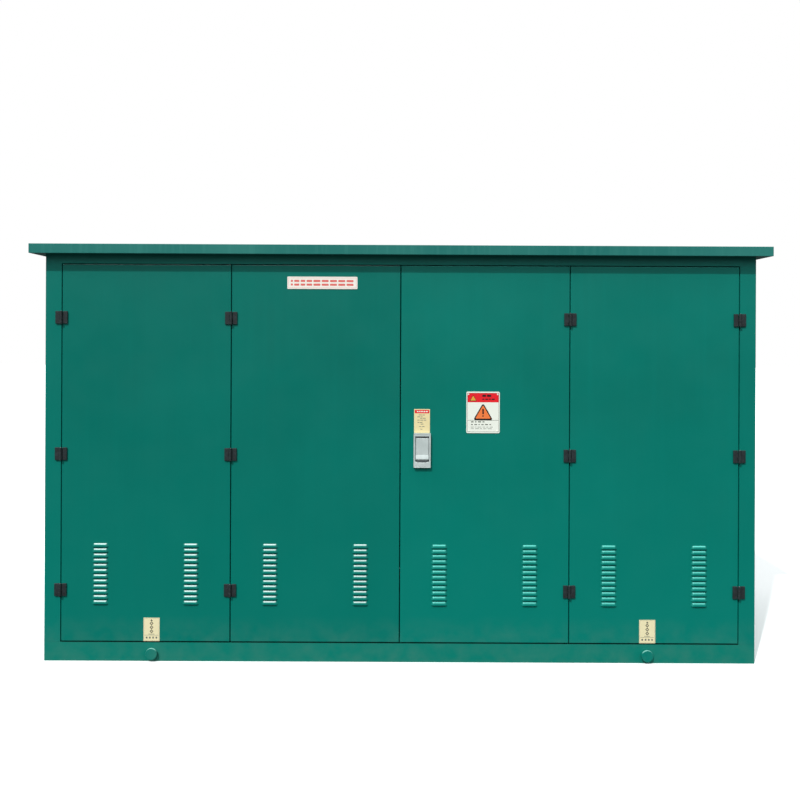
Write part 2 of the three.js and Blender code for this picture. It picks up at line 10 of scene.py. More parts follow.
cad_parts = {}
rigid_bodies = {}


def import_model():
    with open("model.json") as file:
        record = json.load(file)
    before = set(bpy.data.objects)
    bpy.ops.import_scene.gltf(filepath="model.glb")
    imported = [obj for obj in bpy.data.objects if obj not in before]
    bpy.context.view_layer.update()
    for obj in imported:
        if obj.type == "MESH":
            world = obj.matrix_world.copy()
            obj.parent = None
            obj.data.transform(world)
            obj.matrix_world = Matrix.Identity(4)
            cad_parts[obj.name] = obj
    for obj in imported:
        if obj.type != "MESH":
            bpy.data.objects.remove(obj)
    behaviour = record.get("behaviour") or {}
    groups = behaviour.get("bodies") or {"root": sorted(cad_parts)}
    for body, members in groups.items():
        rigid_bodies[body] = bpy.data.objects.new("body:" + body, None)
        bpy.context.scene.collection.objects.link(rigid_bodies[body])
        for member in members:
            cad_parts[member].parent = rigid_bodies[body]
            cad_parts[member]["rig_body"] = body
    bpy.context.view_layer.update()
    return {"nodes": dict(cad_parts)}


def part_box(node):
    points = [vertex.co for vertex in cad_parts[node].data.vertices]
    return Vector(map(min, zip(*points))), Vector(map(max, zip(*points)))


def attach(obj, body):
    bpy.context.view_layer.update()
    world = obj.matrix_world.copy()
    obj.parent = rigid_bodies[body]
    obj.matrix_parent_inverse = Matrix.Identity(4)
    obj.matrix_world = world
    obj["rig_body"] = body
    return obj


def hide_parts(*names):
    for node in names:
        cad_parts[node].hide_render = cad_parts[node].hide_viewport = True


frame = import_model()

MM = 0.001
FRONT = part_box("front_frame")[0].y
SHEET = 2 * MM
FOLD_RADIUS = 2.2 * MM
EDGE = 0.6 * MM  # how much a cut or folded edge is rounded
HINGE_LEVELS = [306 * MM, 889 * MM, 1474 * MM]
WAYS = [-840 * MM, -280 * MM, 280 * MM, 840 * MM]


# ---------------------------------------------------------------- materials


def srgb(red, green, blue):
    """A colour given as 0 to 255 in sRGB, as the linear colour that shaders take."""

    def linear(value):
        share = value / 255
        return share / 12.92 if share <= 0.04045 else ((share + 0.055) / 1.055) ** 2.4

    return (linear(red), linear(green), linear(blue), 1.0)


class Surface:
    """A Principled material, with short calls for the nodes that drive it."""

    def __init__(self, name, **sockets):
        self.material = bpy.data.materials.new(name)
        self.material.use_nodes = True
        self.tree = self.material.node_tree
        self.bsdf = self.tree.nodes["Principled BSDF"]
        for socket, value in sockets.items():
            self.bsdf.inputs[socket.replace("_", " ")].default_value = value
        self.place = self.add("ShaderNodeTexCoord").outputs["Object"]

    def add(self, kind, inputs=(), **settings):
        node = self.tree.nodes.new(kind)
        for name, value in settings.items():
            setattr(node, name, value)
        for name, value in dict(inputs).items():
            if isinstance(value, bpy.types.NodeSocket):
                self.tree.links.new(value, node.inputs[name])
            else:
                node.inputs[name].default_value = value
        return node

    def noise(self, scale, detail, stretch=(1, 1, 1)):
        """Noise of that many features a metre, from 0 to 1."""
        mapped = self.add("ShaderNodeMapping", {"Vector": self.place, "Scale": stretch})
        inputs = {
            "Vector": mapped.outputs["Vector"],
            "Scale": scale,
            "Detail": detail,
            "Roughness": 0.55,
        }
        return self.add("ShaderNodeTexNoise", inputs).outputs["Fac"]

    def ramp(self, value, low, high, at_low=0.0, at_high=1.0):
        """The value, mapped from low..high to at_low..at_high and held there."""
        inputs = {
            "Value": value,
            "From Min": low,
            "From Max": high,
            "To Min": at_low,
            "To Max": at_high,
        }
        return self.add("ShaderNodeMapRange", inputs).outputs["Result"]

    def times(self, first, second):
        return self.add("ShaderNodeMath", {0: first, 1: second}, operation="MULTIPLY").outputs[0]

    def mix(self, share, first, second):
        """A colour between two colours or sockets."""
        inputs = {0: share, 6: first, 7: second}
        return self.add("ShaderNodeMix", inputs, data_type="RGBA").outputs[2]

    def facing_up(self):
        """1 on ledges and hoods that face the sky, 0 on walls."""
        normal = self.add("ShaderNodeNewGeometry").outputs["Normal"]
        upward = self.add("ShaderNodeSeparateXYZ", {"Vector": normal}).outputs["Z"]
        return self.ramp(upward, 0.42, 0.78)

    def height(self):
        """How high a point is above the ground, in metres."""
        return self.add("ShaderNodeSeparateXYZ", {"Vector": self.place}).outputs["Z"]

    def color(self, socket):
        self.tree.links.new(socket, self.bsdf.inputs["Base Color"])

    def rough(self, socket):
        self.tree.links.new(socket, self.bsdf.inputs["Roughness"])

    def bump(self, *layers):
        """Bump from (height socket, depth in metres) layers, laid on each other."""
        normal = None
        for socket, depth in layers:
            inputs = {"Height": socket, "Distance": depth, "Strength": 1.0}
            if normal is not None:
                inputs["Normal"] = normal
            normal = self.add("ShaderNodeBump", inputs).outputs["Normal"]
        self.tree.links.new(normal, self.bsdf.inputs["Normal"])


DUST = srgb(104, 140, 124)
# Dust with a painted highlight: the pale colour that upward faces and louvre hoods are mixed towards.
LEDGE_DUST_AND_HIGHLIGHT = srgb(150, 208, 196)
# Painted shade: the base's upward faces are darkened with this, so the gap under the doors reads dark.
PAINTED_GAP_SHADE = srgb(20, 44, 38)


def paint(
    name,
    base,
    pale,
    streaks=0.3,
    streak_scale=30.0,
    dusty=0.3,
    ledges=0.7,
    ledge_dust_and_light_color=LEDGE_DUST_AND_HIGHLIGHT,
    gloss=0.3,
):
    """Sprayed enamel on sheet steel: blotches, rain streaks, orange peel, paler towards the bottom,
    dust low down, and upward faces and louvre hoods mixed towards a ledge colour, which is dust with a
    painted highlight, and on the base a painted shade.
    """
    surface = Surface(name, Specular_IOR_Level=0.5)
    surface.bsdf.inputs["Specular Tint"].default_value = (0.5, 1.0, 0.95, 1.0)
    blotch = surface.ramp(surface.noise(2.2, 5.0), 0.35, 0.7)
    color = surface.mix(surface.times(blotch, 0.5), base, pale)
    streak = surface.ramp(surface.noise(streak_scale, 3.0, stretch=(1, 1, 0.03)), 0.5, 0.8)
    color = surface.mix(surface.times(streak, streaks), color, pale)
    # Paler towards the bottom, from 1.2 m down to 0.1 m.
    paler_towards_bottom = surface.ramp(surface.height(), 1.2, 0.1)
    color = surface.mix(surface.times(paler_towards_bottom, 0.8), color, pale)
    low = surface.ramp(surface.height(), 0.2, 0.0)
    settled = surface.times(low, surface.ramp(surface.noise(14.0, 8.0), 0.35, 0.72))
    color = surface.mix(surface.times(settled, dusty), color, DUST)
    speck = surface.ramp(surface.noise(420.0, 2.0), 0.73, 0.8)
    color = surface.mix(surface.times(speck, 0.1), color, DUST)
    # Upward faces and louvre hoods are mixed towards the ledge colour: dust with a painted highlight
    # where the hoods catch the sun and sky, and a painted shade on the base.
    color = surface.mix(surface.times(surface.facing_up(), ledges), color, ledge_dust_and_light_color)
    surface.color(color)
    surface.rough(surface.ramp(surface.noise(7.0, 6.0), 0.3, 0.75, gloss, gloss + 0.12))
    surface.bump(
        (surface.noise(1.6, 2.0), 1.0 * MM),
        (surface.noise(330.0, 2.0), 0.012 * MM),
    )
    return surface.material


def black_coating():
    surface = Surface("hinge_black_coating", Specular_IOR_Level=0.35)
    grain = surface.noise(900.0, 3.0)
    worn = surface.ramp(surface.noise(60.0, 6.0), 0.45, 0.75)
    surface.color(surface.mix(surface.times(worn, 0.5), srgb(34, 42, 44), srgb(58, 68, 70)))
    surface.rough(surface.ramp(grain, 0.2, 0.8, 0.48, 0.66))
    surface.bump((grain, 0.06 * MM))
    return surface.material


def brushed_metal(name, dark, light, roughness, stretch, scale=160.0, metallic=1.0):
    """Metal with fine brushing along one direction, some smudges and cloudy wear."""
    surface = Surface(name, Metallic=metallic)
    brushing = surface.noise(scale, 3.0, stretch=stretch)
    smudge = surface.ramp(surface.noise(30.0, 5.0), 0.35, 0.75)
    surface.color(surface.mix(surface.ramp(brushing, 0.3, 0.7), dark, light))
    surface.rough(surface.ramp(smudge, 0.0, 1.0, roughness, roughness + 0.16))
    surface.bump((brushing, 0.02 * MM))
    return surface.material


def satin_chrome():
    """A die-cast lock's satin plating: pale, even, with fine scuffs where fingers go."""
    surface = Surface("satin_chrome", Metallic=0.12, Specular_IOR_Level=0.5)
    scuff = surface.ramp(surface.noise(95.0, 6.0, stretch=(1, 1, 0.25)), 0.45, 0.75)
    cloud = surface.ramp(surface.noise(24.0, 3.0), 0.35, 0.7)
    color = surface.mix(cloud, srgb(198, 209, 206), srgb(210, 220, 217))
    surface.color(surface.mix(surface.times(scuff, 0.3), color, srgb(178, 188, 186)))
    surface.rough(surface.ramp(scuff, 0.0, 1.0, 0.36, 0.5))
    surface.bump((surface.noise(420.0, 3.0, stretch=(1, 1, 0.1)), 0.012 * MM))
    return surface.material


def galvanised():
    """Hot-dip zinc with its pale and dark crystals."""
    surface = Surface("galvanised_steel", Metallic=0.85)
    inputs = {"Vector": surface.place, "Scale": 110.0}
    spangle = surface.add("ShaderNodeTexVoronoi", inputs).outputs["Color"]
    grey = surface.add("ShaderNodeSeparateColor", {"Color": spangle}).outputs["Red"]
    color = surface.mix(grey, srgb(150, 156, 158), srgb(176, 182, 184))
    stain = surface.ramp(surface.noise(9.0, 7.0), 0.5, 0.8)
    surface.color(surface.mix(surface.times(stain, 0.2), color, srgb(128, 130, 127)))
    surface.rough(surface.ramp(grey, 0.0, 1.0, 0.38, 0.56))
    surface.bump((surface.noise(240.0, 3.0), 0.03 * MM))
    return surface.material


def printed(name, color, faded):
    """Ink or film on a sign: a faint fade, dust specks and a slight film texture."""
    surface = Surface(name, Specular_IOR_Level=0.4)
    fade = surface.ramp(surface.noise(22.0, 5.0), 0.35, 0.75)
    mixed = surface.mix(surface.times(fade, 0.4), color, faded)
    speck = surface.ramp(surface.noise(700.0, 2.0), 0.72, 0.8)
    surface.color(surface.mix(surface.times(speck, 0.25), mixed, srgb(150, 146, 132)))
    surface.rough(surface.ramp(fade, 0.0, 1.0, 0.42, 0.54))
    surface.bump((surface.noise(260.0, 2.0), 0.015 * MM))
    return surface.material


def rubber():
    surface = Surface("seal_rubber", Specular_IOR_Level=0.3)
    pores = surface.noise(1300.0, 3.0)
    chalk = surface.ramp(surface.noise(35.0, 6.0), 0.45, 0.75)
    surface.color(surface.mix(surface.times(chalk, 0.5), srgb(22, 23, 24), srgb(52, 53, 54)))
    surface.rough(surface.ramp(pores, 0.2, 0.8, 0.72, 0.9))
    surface.bump((pores, 0.15 * MM))
    return surface.material


def cast_epoxy():
    surface = Surface("cast_epoxy", Coat_Weight=0.35, Coat_Roughness=0.12)
    flow = surface.ramp(surface.noise(18.0, 4.0, stretch=(1, 0.3, 1)), 0.3, 0.75)
    surface.color(surface.mix(flow, srgb(112, 34, 22), srgb(140, 50, 34)))
    surface.rough(surface.ramp(surface.noise(90.0, 4.0), 0.3, 0.7, 0.24, 0.36))
    surface.bump((surface.noise(45.0, 2.0), 0.08 * MM))
    return surface.material


def copper():
    surface = Surface("bare_copper", Metallic=1.0)
    drawn = surface.noise(120.0, 3.0, stretch=(0.04, 1, 1))
    tarnish = surface.ramp(surface.noise(8.0, 7.0), 0.42, 0.75)
    bright = surface.mix(surface.ramp(drawn, 0.3, 0.7), srgb(196, 128, 92), srgb(220, 152, 112))
    surface.color(surface.mix(surface.times(tarnish, 0.6), bright, srgb(128, 74, 52)))
    surface.rough(surface.ramp(tarnish, 0.0, 1.0, 0.24, 0.46))
    surface.bump((drawn, 0.03 * MM))
    return surface.material


def moulded(name, color, other, roughness=0.5):
    """Moulded plastic with a fine spark-eroded grain."""
    surface = Surface(name)
    grain = surface.noise(1500.0, 2.0)
    cloud = surface.ramp(surface.noise(25.0, 4.0), 0.35, 0.7)
    surface.color(surface.mix(cloud, color, other))
    surface.rough(surface.ramp(grain, 0.2, 0.8, roughness - 0.05, roughness + 0.08))
    surface.bump((grain, 0.04 * MM))
    return surface.material


def pale_floor():
    surface = Surface("pale_floor", Specular_IOR_Level=0.1)
    cloud = surface.ramp(surface.noise(0.8, 4.0), 0.3, 0.7)
    surface.color(surface.mix(cloud, srgb(246, 246, 245), srgb(249, 249, 248)))
    surface.rough(surface.ramp(surface.noise(30.0, 3.0), 0.3, 0.7, 0.8, 0.9))
    return surface.material


# The left and right doors share one green, painted as lit and shaded copies: the left doors slightly
# darker, with near-white painted highlights on their louvre hoods for the sun's glint, and the right
# doors slightly brighter, with teal painted highlights for the sky's reflection.
PAINT = {
    "left": paint(
        "paint_left_doors_painted_light",
        srgb(0, 109, 96),
        srgb(0, 121, 107),
        ledges=0.85,
        ledge_dust_and_light_color=srgb(228, 240, 236),
    ),
    "right": paint(
        "paint_right_doors_painted_light",
        srgb(0, 115, 101),
        srgb(0, 127, 113),
        ledges=0.8,
        ledge_dust_and_light_color=srgb(112, 218, 204),
    ),
    "frame": paint("paint_frame", srgb(0, 113, 100), srgb(0, 125, 111)),
    # The base's upward faces take the dark painted shade, which shows in the gap under the doors.
    "base": paint(
        "paint_base",
        srgb(0, 119, 104),
        srgb(8, 127, 111),
        dusty=0.22,
        ledges=0.8,
        ledge_dust_and_light_color=PAINTED_GAP_SHADE,
    ),
    "roof": paint(
        "paint_roof",
        srgb(24, 109, 101),
        srgb(56, 132, 122),
        streaks=0.6,
        streak_scale=70.0,
        ledges=0.1,
        gloss=0.42,
    ),
    "walls": paint("paint_walls", srgb(0, 112, 99), srgb(0, 122, 108)),
}
HINGE_BLACK = black_coating()
SATIN_CHROME = satin_chrome()
BRIGHT_STEEL = brushed_metal(
    "bright_zinc_steel", srgb(150, 156, 158), srgb(196, 202, 204), 0.3, (1, 1, 0.06)
)
TANK_STEEL = brushed_metal(
    "tank_stainless", srgb(188, 193, 194), srgb(204, 209, 210), 0.4, (0.03, 1, 1), 420.0, 0.6
)
GALVANISED = galvanised()
RUBBER = rubber()
EPOXY = cast_epoxy()
COPPER = copper()
SIGN_WHITE = printed("sign_white", srgb(246, 250, 238), srgb(236, 241, 227))
PLATE_CREAM = printed("plate_cream", srgb(255, 250, 240), srgb(251, 242, 229))
LABEL_CREAM = printed("label_cream", srgb(244, 228, 174), srgb(236, 217, 160))
LABEL_PALE = printed("label_pale_cream", srgb(244, 234, 190), srgb(236, 224, 176))
INK_RED = printed("ink_red", srgb(240, 26, 38), srgb(226, 40, 46))
INK_SALMON = printed("ink_salmon", srgb(236, 112, 104), srgb(242, 142, 130))
INK_ORANGE = printed("ink_orange", srgb(250, 128, 64), srgb(244, 140, 84))
INK_YELLOW = printed("ink_yellow", srgb(236, 168, 60), srgb(228, 172, 84))
INK_BLACK = printed("ink_black", srgb(30, 20, 22), srgb(46, 36, 36))
INK_SOFT_BLACK = printed("ink_soft_black", srgb(74, 74, 64), srgb(96, 94, 80))
INK_GREY = printed("ink_grey", srgb(112, 116, 106), srgb(132, 134, 122))
INK_GREEN = printed("ink_green", srgb(40, 140, 70), srgb(70, 158, 92))
PLASTIC_GREY = moulded("moulded_grey", srgb(196, 199, 196), srgb(206, 208, 204))
LAMP_COVER = moulded("lamp_cover", srgb(232, 234, 230), srgb(240, 241, 238), roughness=0.3)
PLASTIC_BLACK = moulded("moulded_black", srgb(28, 29, 30), srgb(40, 41, 42))
LENS_RED = moulded("indicator_lens", srgb(168, 20, 22), srgb(190, 34, 30), roughness=0.2)


# ---------------------------------------------------------------- mesh building


def in_mm(*points):
    """Points given in millimetres, in metres."""
    return [tuple(value * MM for value in point) for point in points]


def to_mesh(name, part):
    """A mesh of a bmesh, which is freed."""
    mesh = bpy.data.meshes.new(name)
    part.to_mesh(mesh)
    part.free()
    return mesh


def place(name, data):
    """An object of that data, in the scene."""
    made = bpy.data.objects.new(name, data)
    bpy.context.scene.collection.objects.link(made)
    return made


def absorb(target, part, index=0):
    """Moves the faces of one bmesh into another, with that material index."""
    for face in part.faces:
        face.material_index = index
    mesh = to_mesh("part", part)
    target.from_mesh(mesh)
    bpy.data.meshes.remove(mesh)


def round_edges(part, radius, segments=2):
    least_angle = math.radians(30)
    edges = [
        edge
        for edge in part.edges
        if edge.is_manifold and edge.calc_face_angle() > least_angle
    ]
    if radius > 0 and edges:
        bmesh.ops.bevel(
            part,
            geom=edges,
            offset=radius,
            segments=segments,
            profile=0.5,
            affect="EDGES",
            clamp_overlap=True,
        )


def add_box(target, low, high, radius=EDGE, index=0, segments=2):
    """A box between two opposite corners, given in any order, with rounded edges."""
    part = bmesh.new()
    bmesh.ops.create_cube(part, size=1)
    low, high = Vector(map(min, low, high)), Vector(map(max, low, high))
    middle = (low + high) / 2
    for vertex in part.verts:
        vertex.co = middle + Vector(vertex.co[i] * (high[i] - low[i]) for i in range(3))
    round_edges(part, radius, segments)
    absorb(target, part, index)


def add_turned(target, origin, axis, profile, sides=32, index=0):
    """A profile of (radius, distance) points turned about an axis through origin."""
    part = bmesh.new()
    along = Vector(axis).normalized()
    across = along.orthogonal().normalized()
    third = along.cross(across)
    rings = []
    for radius, distance in profile:
        centre = Vector(origin) + along * distance
        ring = []
        for side in range(sides):
            turn = math.tau * side / sides
            reach = across * math.cos(turn) + third * math.sin(turn)
            ring.append(part.verts.new(centre + reach * max(radius, 1e-5)))
        rings.append(ring)
    for first, second in zip(rings, rings[1:]):
        for side in range(sides):
            after = (side + 1) % sides
            part.faces.new((first[side], first[after], second[after], second[side]))
    part.faces.new(list(reversed(rings[0])))
    part.faces.new(rings[-1])
    absorb(target, part, index)


def add_bar(target, start, end, radius, chamfer=0.5 * MM, sides=24, index=0):
    """A round bar between two points, with chamfered ends."""
    axis = Vector(end) - Vector(start)
    length = axis.length
    profile = [
        (radius - chamfer, 0),
        (radius, chamfer),
        (radius, length - chamfer),
        (radius - chamfer, length),
    ]
    add_turned(target, start, axis, profile, sides, index)


def add_bolt(target, origin, axis, size, index=0):
    """A hexagon bolt head on its washer. `size` is the thread's diameter."""
    axis = Vector(axis).normalized()
    washer = [(size * 1.05, 0), (size * 1.05, size * 0.16), (size * 0.8, size * 0.18)]
    add_turned(target, origin, axis, washer, 20, index)
    head = [(size * 0.88, 0), (size * 0.92, size * 0.5), (size * 0.78, size * 0.64)]
    add_turned(target, Vector(origin) + axis * size * 0.18, axis, head, 6, index)


def add_ring(target, centre, section):
    """A closed (radius, height) section turned about a vertical axis."""
    sides = 40
    part = bmesh.new()
    rings = []
    for side in range(sides):
        turn = math.tau * side / sides
        rings.append(
            [
                part.verts.new(
                    (
                        centre[0] + radius * math.cos(turn),
                        centre[1] + radius * math.sin(turn),
                        centre[2] + rise,
                    )
                )
                for radius, rise in section[:-1]
            ]
        )
    count = len(section) - 1
    for side in range(sides):
        first, second = rings[side], rings[(side + 1) % sides]
        for i in range(count):
            after = (i + 1) % count
            part.faces.new((first[i], second[i], second[after], first[after]))
    bmesh.ops.recalc_face_normals(part, faces=part.faces)
    absorb(target, part)


def rounded_outline(centre_x, centre_z, width, height, radius, steps=5):
    """The corners of a rounded rectangle, anticlockwise as seen from the front."""
    points = []
    for quarter, (side_x, side_z) in enumerate([(1, 1), (-1, 1), (-1, -1), (1, -1)]):
        corner_x = centre_x + side_x * (width / 2 - radius)
        corner_z = centre_z + side_z * (height / 2 - radius)
        for step in range(steps + 1):
            turn = (quarter + step / steps) * math.pi / 2
            points.append(
                (corner_x + radius * math.cos(turn), corner_z + radius * math.sin(turn))
            )
    return points


def add_plate(target, outline, y_front, y_back, radius=0.0, index=0):
    """A flat plate of that (x, z) outline between two depths, with its front edge rounded."""
    part = bmesh.new()
    front = [part.verts.new((x, y_front, z)) for x, z in outline]
    back = [part.verts.new((x, y_back, z)) for x, z in outline]
    part.faces.new(front)
    part.faces.new(list(reversed(back)))
    for i in range(len(outline)):
        after = (i + 1) % len(outline)
        part.faces.new((front[i], back[i], back[after], front[after]))
    bmesh.ops.recalc_face_normals(part, faces=part.faces)
    if radius > 0:
        rim = [e for e in part.edges if all(abs(v.co.y - y_front) < 1e-7 for v in e.verts)]
        bmesh.ops.bevel(part, geom=rim, offset=radius, segments=2, profile=0.5, affect="EDGES")
    absorb(target, part, index)


def finish_piece(name, part, materials, body, replaced=(), smooth=32):
    """Makes an object of a bmesh, shades it, and joins it to the frame."""
    mesh = to_mesh(name, part)
    mesh.shade_smooth()
    mesh.set_sharp_from_angle(angle=math.radians(smooth))
    for material in materials:
        mesh.materials.append(material)
    piece = place(name, mesh)
    flatter = piece.modifiers.new("flat_faces_stay_flat", "WEIGHTED_NORMAL")
    flatter.keep_sharp = True
    flatter.weight = 100
    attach(piece, body)
    if replaced:
        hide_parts(*replaced)


def refined(node, material, radius=EDGE):
    """A finer copy of a CAD node, with its edges rounded, which stands for it."""
    part = bmesh.new()
    part.from_mesh(frame["nodes"][node].data)
    bmesh.ops.remove_doubles(part, verts=part.verts, dist=0.005 * MM)
    bmesh.ops.dissolve_limit(
        part, angle_limit=math.radians(0.5), verts=part.verts, edges=part.edges
    )
    round_edges(part, radius)
    for face in part.faces:
        face.material_index = 0
    body = frame["nodes"][node]["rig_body"]
    finish_piece(node + "_finished", part, [material], body, [node])


# ---------------------------------------------------------------- pressed sheet panels

# A louvre's section from its slit upwards, as (rise from its middle, how far it stands out).
LOUVRE_PROFILE = in_mm(
    (-3.2, 6.6),
    (-1.4, 6.6),
    (1.5, 6.4),
    (4.4, 5.6),
    (6.8, 4.2),
    (8.6, 2.5),
    (9.7, 1.0),
    (10.2, 0.0),
    (11.2, 0.0),
)
# Its ends close over the last part of its half width, and slant inwards towards its top.
LOUVRE_HALF = 34 * MM
LOUVRE_SLANT = 5 * MM
LOUVRE_CLOSING = 7.5 * MM
LOUVRE_COLUMNS = [column * MM for column in (35, 34, 31.5, 29, 26.5, 24, 21.5, 18)]
# How far behind a panel's face the hole in its end fold starts and ends.
PASSAGE_DEPTH = (11 * MM, 25 * MM)


def louvre_share(across, rise):
    """The share of a hood's full height at that distance from its middle."""
    foot, top = LOUVRE_PROFILE[0][0], LOUVRE_PROFILE[-2][0]
    reach = LOUVRE_HALF - LOUVRE_SLANT * (rise - foot) / (top - foot)
    inside = min(max((reach - across) / LOUVRE_CLOSING, 0), 1)
    return math.sin(inside * math.pi / 2)


def grid_key(x, z):
    """A point of the face grid, in whole hundredths of a millimetre."""
    return (round(x / MM * 100), round(z / MM * 100))


def louvre_heights(louvres):
    """How far each louvred grid point stands out, and the points where a slit opens the sheet."""
    heights, slits = {}, set()
    for middle_x, middle_z in louvres:
        for column in LOUVRE_COLUMNS:
            for x in (middle_x - column, middle_x + column):
                for rise, out in LOUVRE_PROFILE:
                    heights[grid_key(x, middle_z + rise)] = out * louvre_share(column, rise)
                if column < LOUVRE_HALF:
                    slits.add(grid_key(x, middle_z + LOUVRE_PROFILE[0][0]))
    return heights, slits


def apart(values):
    """The values in order, each once, to a hundredth of a millimetre."""
    return [value / 100 * MM for value in sorted({round(v / MM * 100) for v in values})]


def grid_lines(width, height, louvres, holes, passages):
    """The x and z lines of a panel's face grid."""
    xs, zs = [FOLD_RADIUS, width - FOLD_RADIUS], [FOLD_RADIUS, height - FOLD_RADIUS]
    for middle_x, middle_z in louvres:
        for column in LOUVRE_COLUMNS:
            xs += [middle_x - column, middle_x + column]
        zs += [middle_z + rise for rise, _ in LOUVRE_PROFILE]
        zs.append(middle_z + LOUVRE_PROFILE[0][0] - 1 * MM)
    for x0, x1, z0, z1 in holes:
        xs += [x0, x1]
        zs += [z0, z1]
    for passage in passages:
        xs += passage[:2]
    return apart(xs), apart(zs)


def edge_side(at, last):
    """-1 on the first line of a grid, 1 on its last, 0 between."""
    return -1 if at == 0 else (1 if at == last else 0)


def pressed_panel(width, height, depth, lip, louvres=(), holes=(), passages=()):
    """A folded sheet tray. Its face is the plane y = 0, facing -Y, from the origin to +X and +Z.

    Holes open the face. Passages (x from, x to, end) open the fold at its "top" or "bottom".
    """
    heights, slits = louvre_heights(louvres)
    xs, zs = grid_lines(width, height, louvres, holes, passages)
    panel = bmesh.new()
    made = {}

    def vertex(i, k, above):
        key = grid_key(xs[i], zs[k])
        split = above if key in slits else None
        if (i, k, split) not in made:
            out = 0.0 if split is False else heights.get(key, 0.0)
            made[i, k, split] = panel.verts.new((xs[i], -out, zs[k]))
        return made[i, k, split]

    for i in range(len(xs) - 1):
        for k in range(len(zs) - 1):
            x, z = (xs[i] + xs[i + 1]) / 2, (zs[k] + zs[k + 1]) / 2
            if any(x0 < x < x1 and z0 < z < z1 for x0, x1, z0, z1 in holes):
                continue
            lower = (vertex(i, k, True), vertex(i + 1, k, True))
            upper = (vertex(i + 1, k + 1, False), vertex(i, k + 1, False))
            panel.faces.new((*lower, *upper))

    last_x, last_z = len(xs) - 1, len(zs) - 1
    rim = [(i, 0) for i in range(last_x)]
    rim += [(last_x, k) for k in range(last_z)]
    rim += [(i, last_z) for i in range(last_x, 0, -1)]
    rim += [(0, k) for k in range(last_z, 0, -1)]
    sides = [(edge_side(i, last_x), edge_side(k, last_z)) for i, k in rim]
    ring = [vertex(i, k, True) for i, k in rim]
    start = [v.co.copy() for v in ring]

    def opens(index):
        (i, k), (next_i, next_k) = rim[index], rim[(index + 1) % len(rim)]
        if k != next_k:
            return False
        middle, this_end = (xs[i] + xs[next_i]) / 2, "bottom" if k == 0 else "top"
        return any(x0 < middle < x1 and end == this_end for x0, x1, end in passages)

    arc = [math.radians(a) for a in (30, 60, 90)]
    steps = [(FOLD_RADIUS * math.sin(a), FOLD_RADIUS * (1 - math.cos(a))) for a in arc]
    steps += [(FOLD_RADIUS, PASSAGE_DEPTH[0]), (FOLD_RADIUS, PASSAGE_DEPTH[1])]
    steps += [(FOLD_RADIUS, depth), (FOLD_RADIUS - lip, depth)]
    for grow, back in steps:
        offsets = [Vector((sx * grow, back, sz * grow)) for sx, sz in sides]
        outer = [panel.verts.new(at + offset) for at, offset in zip(start, offsets)]
        for i in range(len(ring)):
            if back == PASSAGE_DEPTH[1] and opens(i):
                continue
            after = (i + 1) % len(ring)
            panel.faces.new((outer[i], outer[after], ring[after], ring[i]))
        ring = outer
    return panel


def thicken(panel, thickness):
    """Gives an open sheet its thickness, behind its face."""
    mesh = to_mesh("sheet", panel)
    sheet = place("sheet", mesh)
    solidify = sheet.modifiers.new("thickness", "SOLIDIFY")
    solidify.thickness = thickness
    solidify.offset = -1
    bpy.context.view_layer.update()
    solid = bmesh.new()
    solid.from_object(sheet, bpy.context.evaluated_depsgraph_get())
    bpy.data.objects.remove(sheet)
    bpy.data.meshes.remove(mesh)
    return solid


# ---------------------------------------------------------------- doors

LOUVRE = {"pitch": 22.3 * MM, "count": 12, "lowest": 249 * MM, "offset": 194 * MM}
SIDE_LOUVRE = {"count": 8, "lowest": 1460 * MM, "behind_middle": 250 * MM}
DOOR_RIB = {"half": 30 * MM, "margin": 40 * MM, "depth": 24 * MM}


def passage(node, end):
    """The hole in a door's end fold that a rod or bolt slides through."""
    low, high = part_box(node)
    return (low.x - 1.2 * MM, high.x + 1.2 * MM, end)


def door(name, body, tone, holes=(), passages=()):
    """A pressed and folded door, and the stiffener down its inside."""
    low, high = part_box(name)
    width, height = high.x - low.x, high.z - low.z
    middle = width / 2
    louvres = [
        (middle + side * LOUVRE["offset"], LOUVRE["lowest"] + i * LOUVRE["pitch"] - low.z)
        for side in (-1, 1)
        for i in range(LOUVRE["count"])
    ]
    local = [(x0 - low.x, x1 - low.x, z0 - low.z, z1 - low.z) for x0, x1, z0, z1 in holes]
    through = [(x0 - low.x, x1 - low.x, end) for x0, x1, end in passages]
    sheet = pressed_panel(width, height, high.y - FRONT, 18 * MM, louvres, local, through)
    panel = thicken(sheet, SHEET)
    panel.transform(Matrix.Translation((low.x, FRONT, low.z)))
    finish_piece(name + "_pressed", panel, [PAINT[tone]], body, [name])

    rib = bmesh.new()
    across = (low.x + middle - DOOR_RIB["half"], low.x + middle + DOOR_RIB["half"])
    up = (low.z + DOOR_RIB["margin"], high.z - DOOR_RIB["margin"])
    deep = (FRONT + SHEET + 0.2 * MM, FRONT + DOOR_RIB["depth"])
    add_box(rib, (across[0], deep[0], up[0]), (across[1], deep[1], up[1]), 2 * MM, segments=3)
    for x in (across[0] - 12 * MM, across[1]):
        foot = (x, deep[0], up[0])
        add_box(rib, foot, (x + 12 * MM, deep[0] + 1.5 * MM, up[1]), 0.4 * MM)
    finish_piece(name + "_stiffener", rib, [PAINT[tone]], body)


def rod_guides(name, body, tone, x, levels):
    """The bent straps on a door's inside that a rod or bolt slides in."""
    part = bmesh.new()
    strap, height = 2 * MM, 14 * MM
    inside = FRONT + SHEET + 0.2 * MM
    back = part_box("door_left_outer")[1].y
    for z in levels:
        for side in (-1, 1):
            near, far = x + side * 8.5 * MM, x + side * 11 * MM
            add_box(part, (near, inside, z), (far, back - strap, z + height), 0.5 * MM)
            foot = x + side * 24 * MM
            add_box(part, (far, inside, z), (foot, FRONT + 4 * MM, z + height), 0.5 * MM)
        start = (x - 11 * MM, back - 2 * strap, z)
        add_box(part, start, (x + 11 * MM, back - strap, z + height), 0.5 * MM)
    finish_piece(name, part, [PAINT[tone]], body)


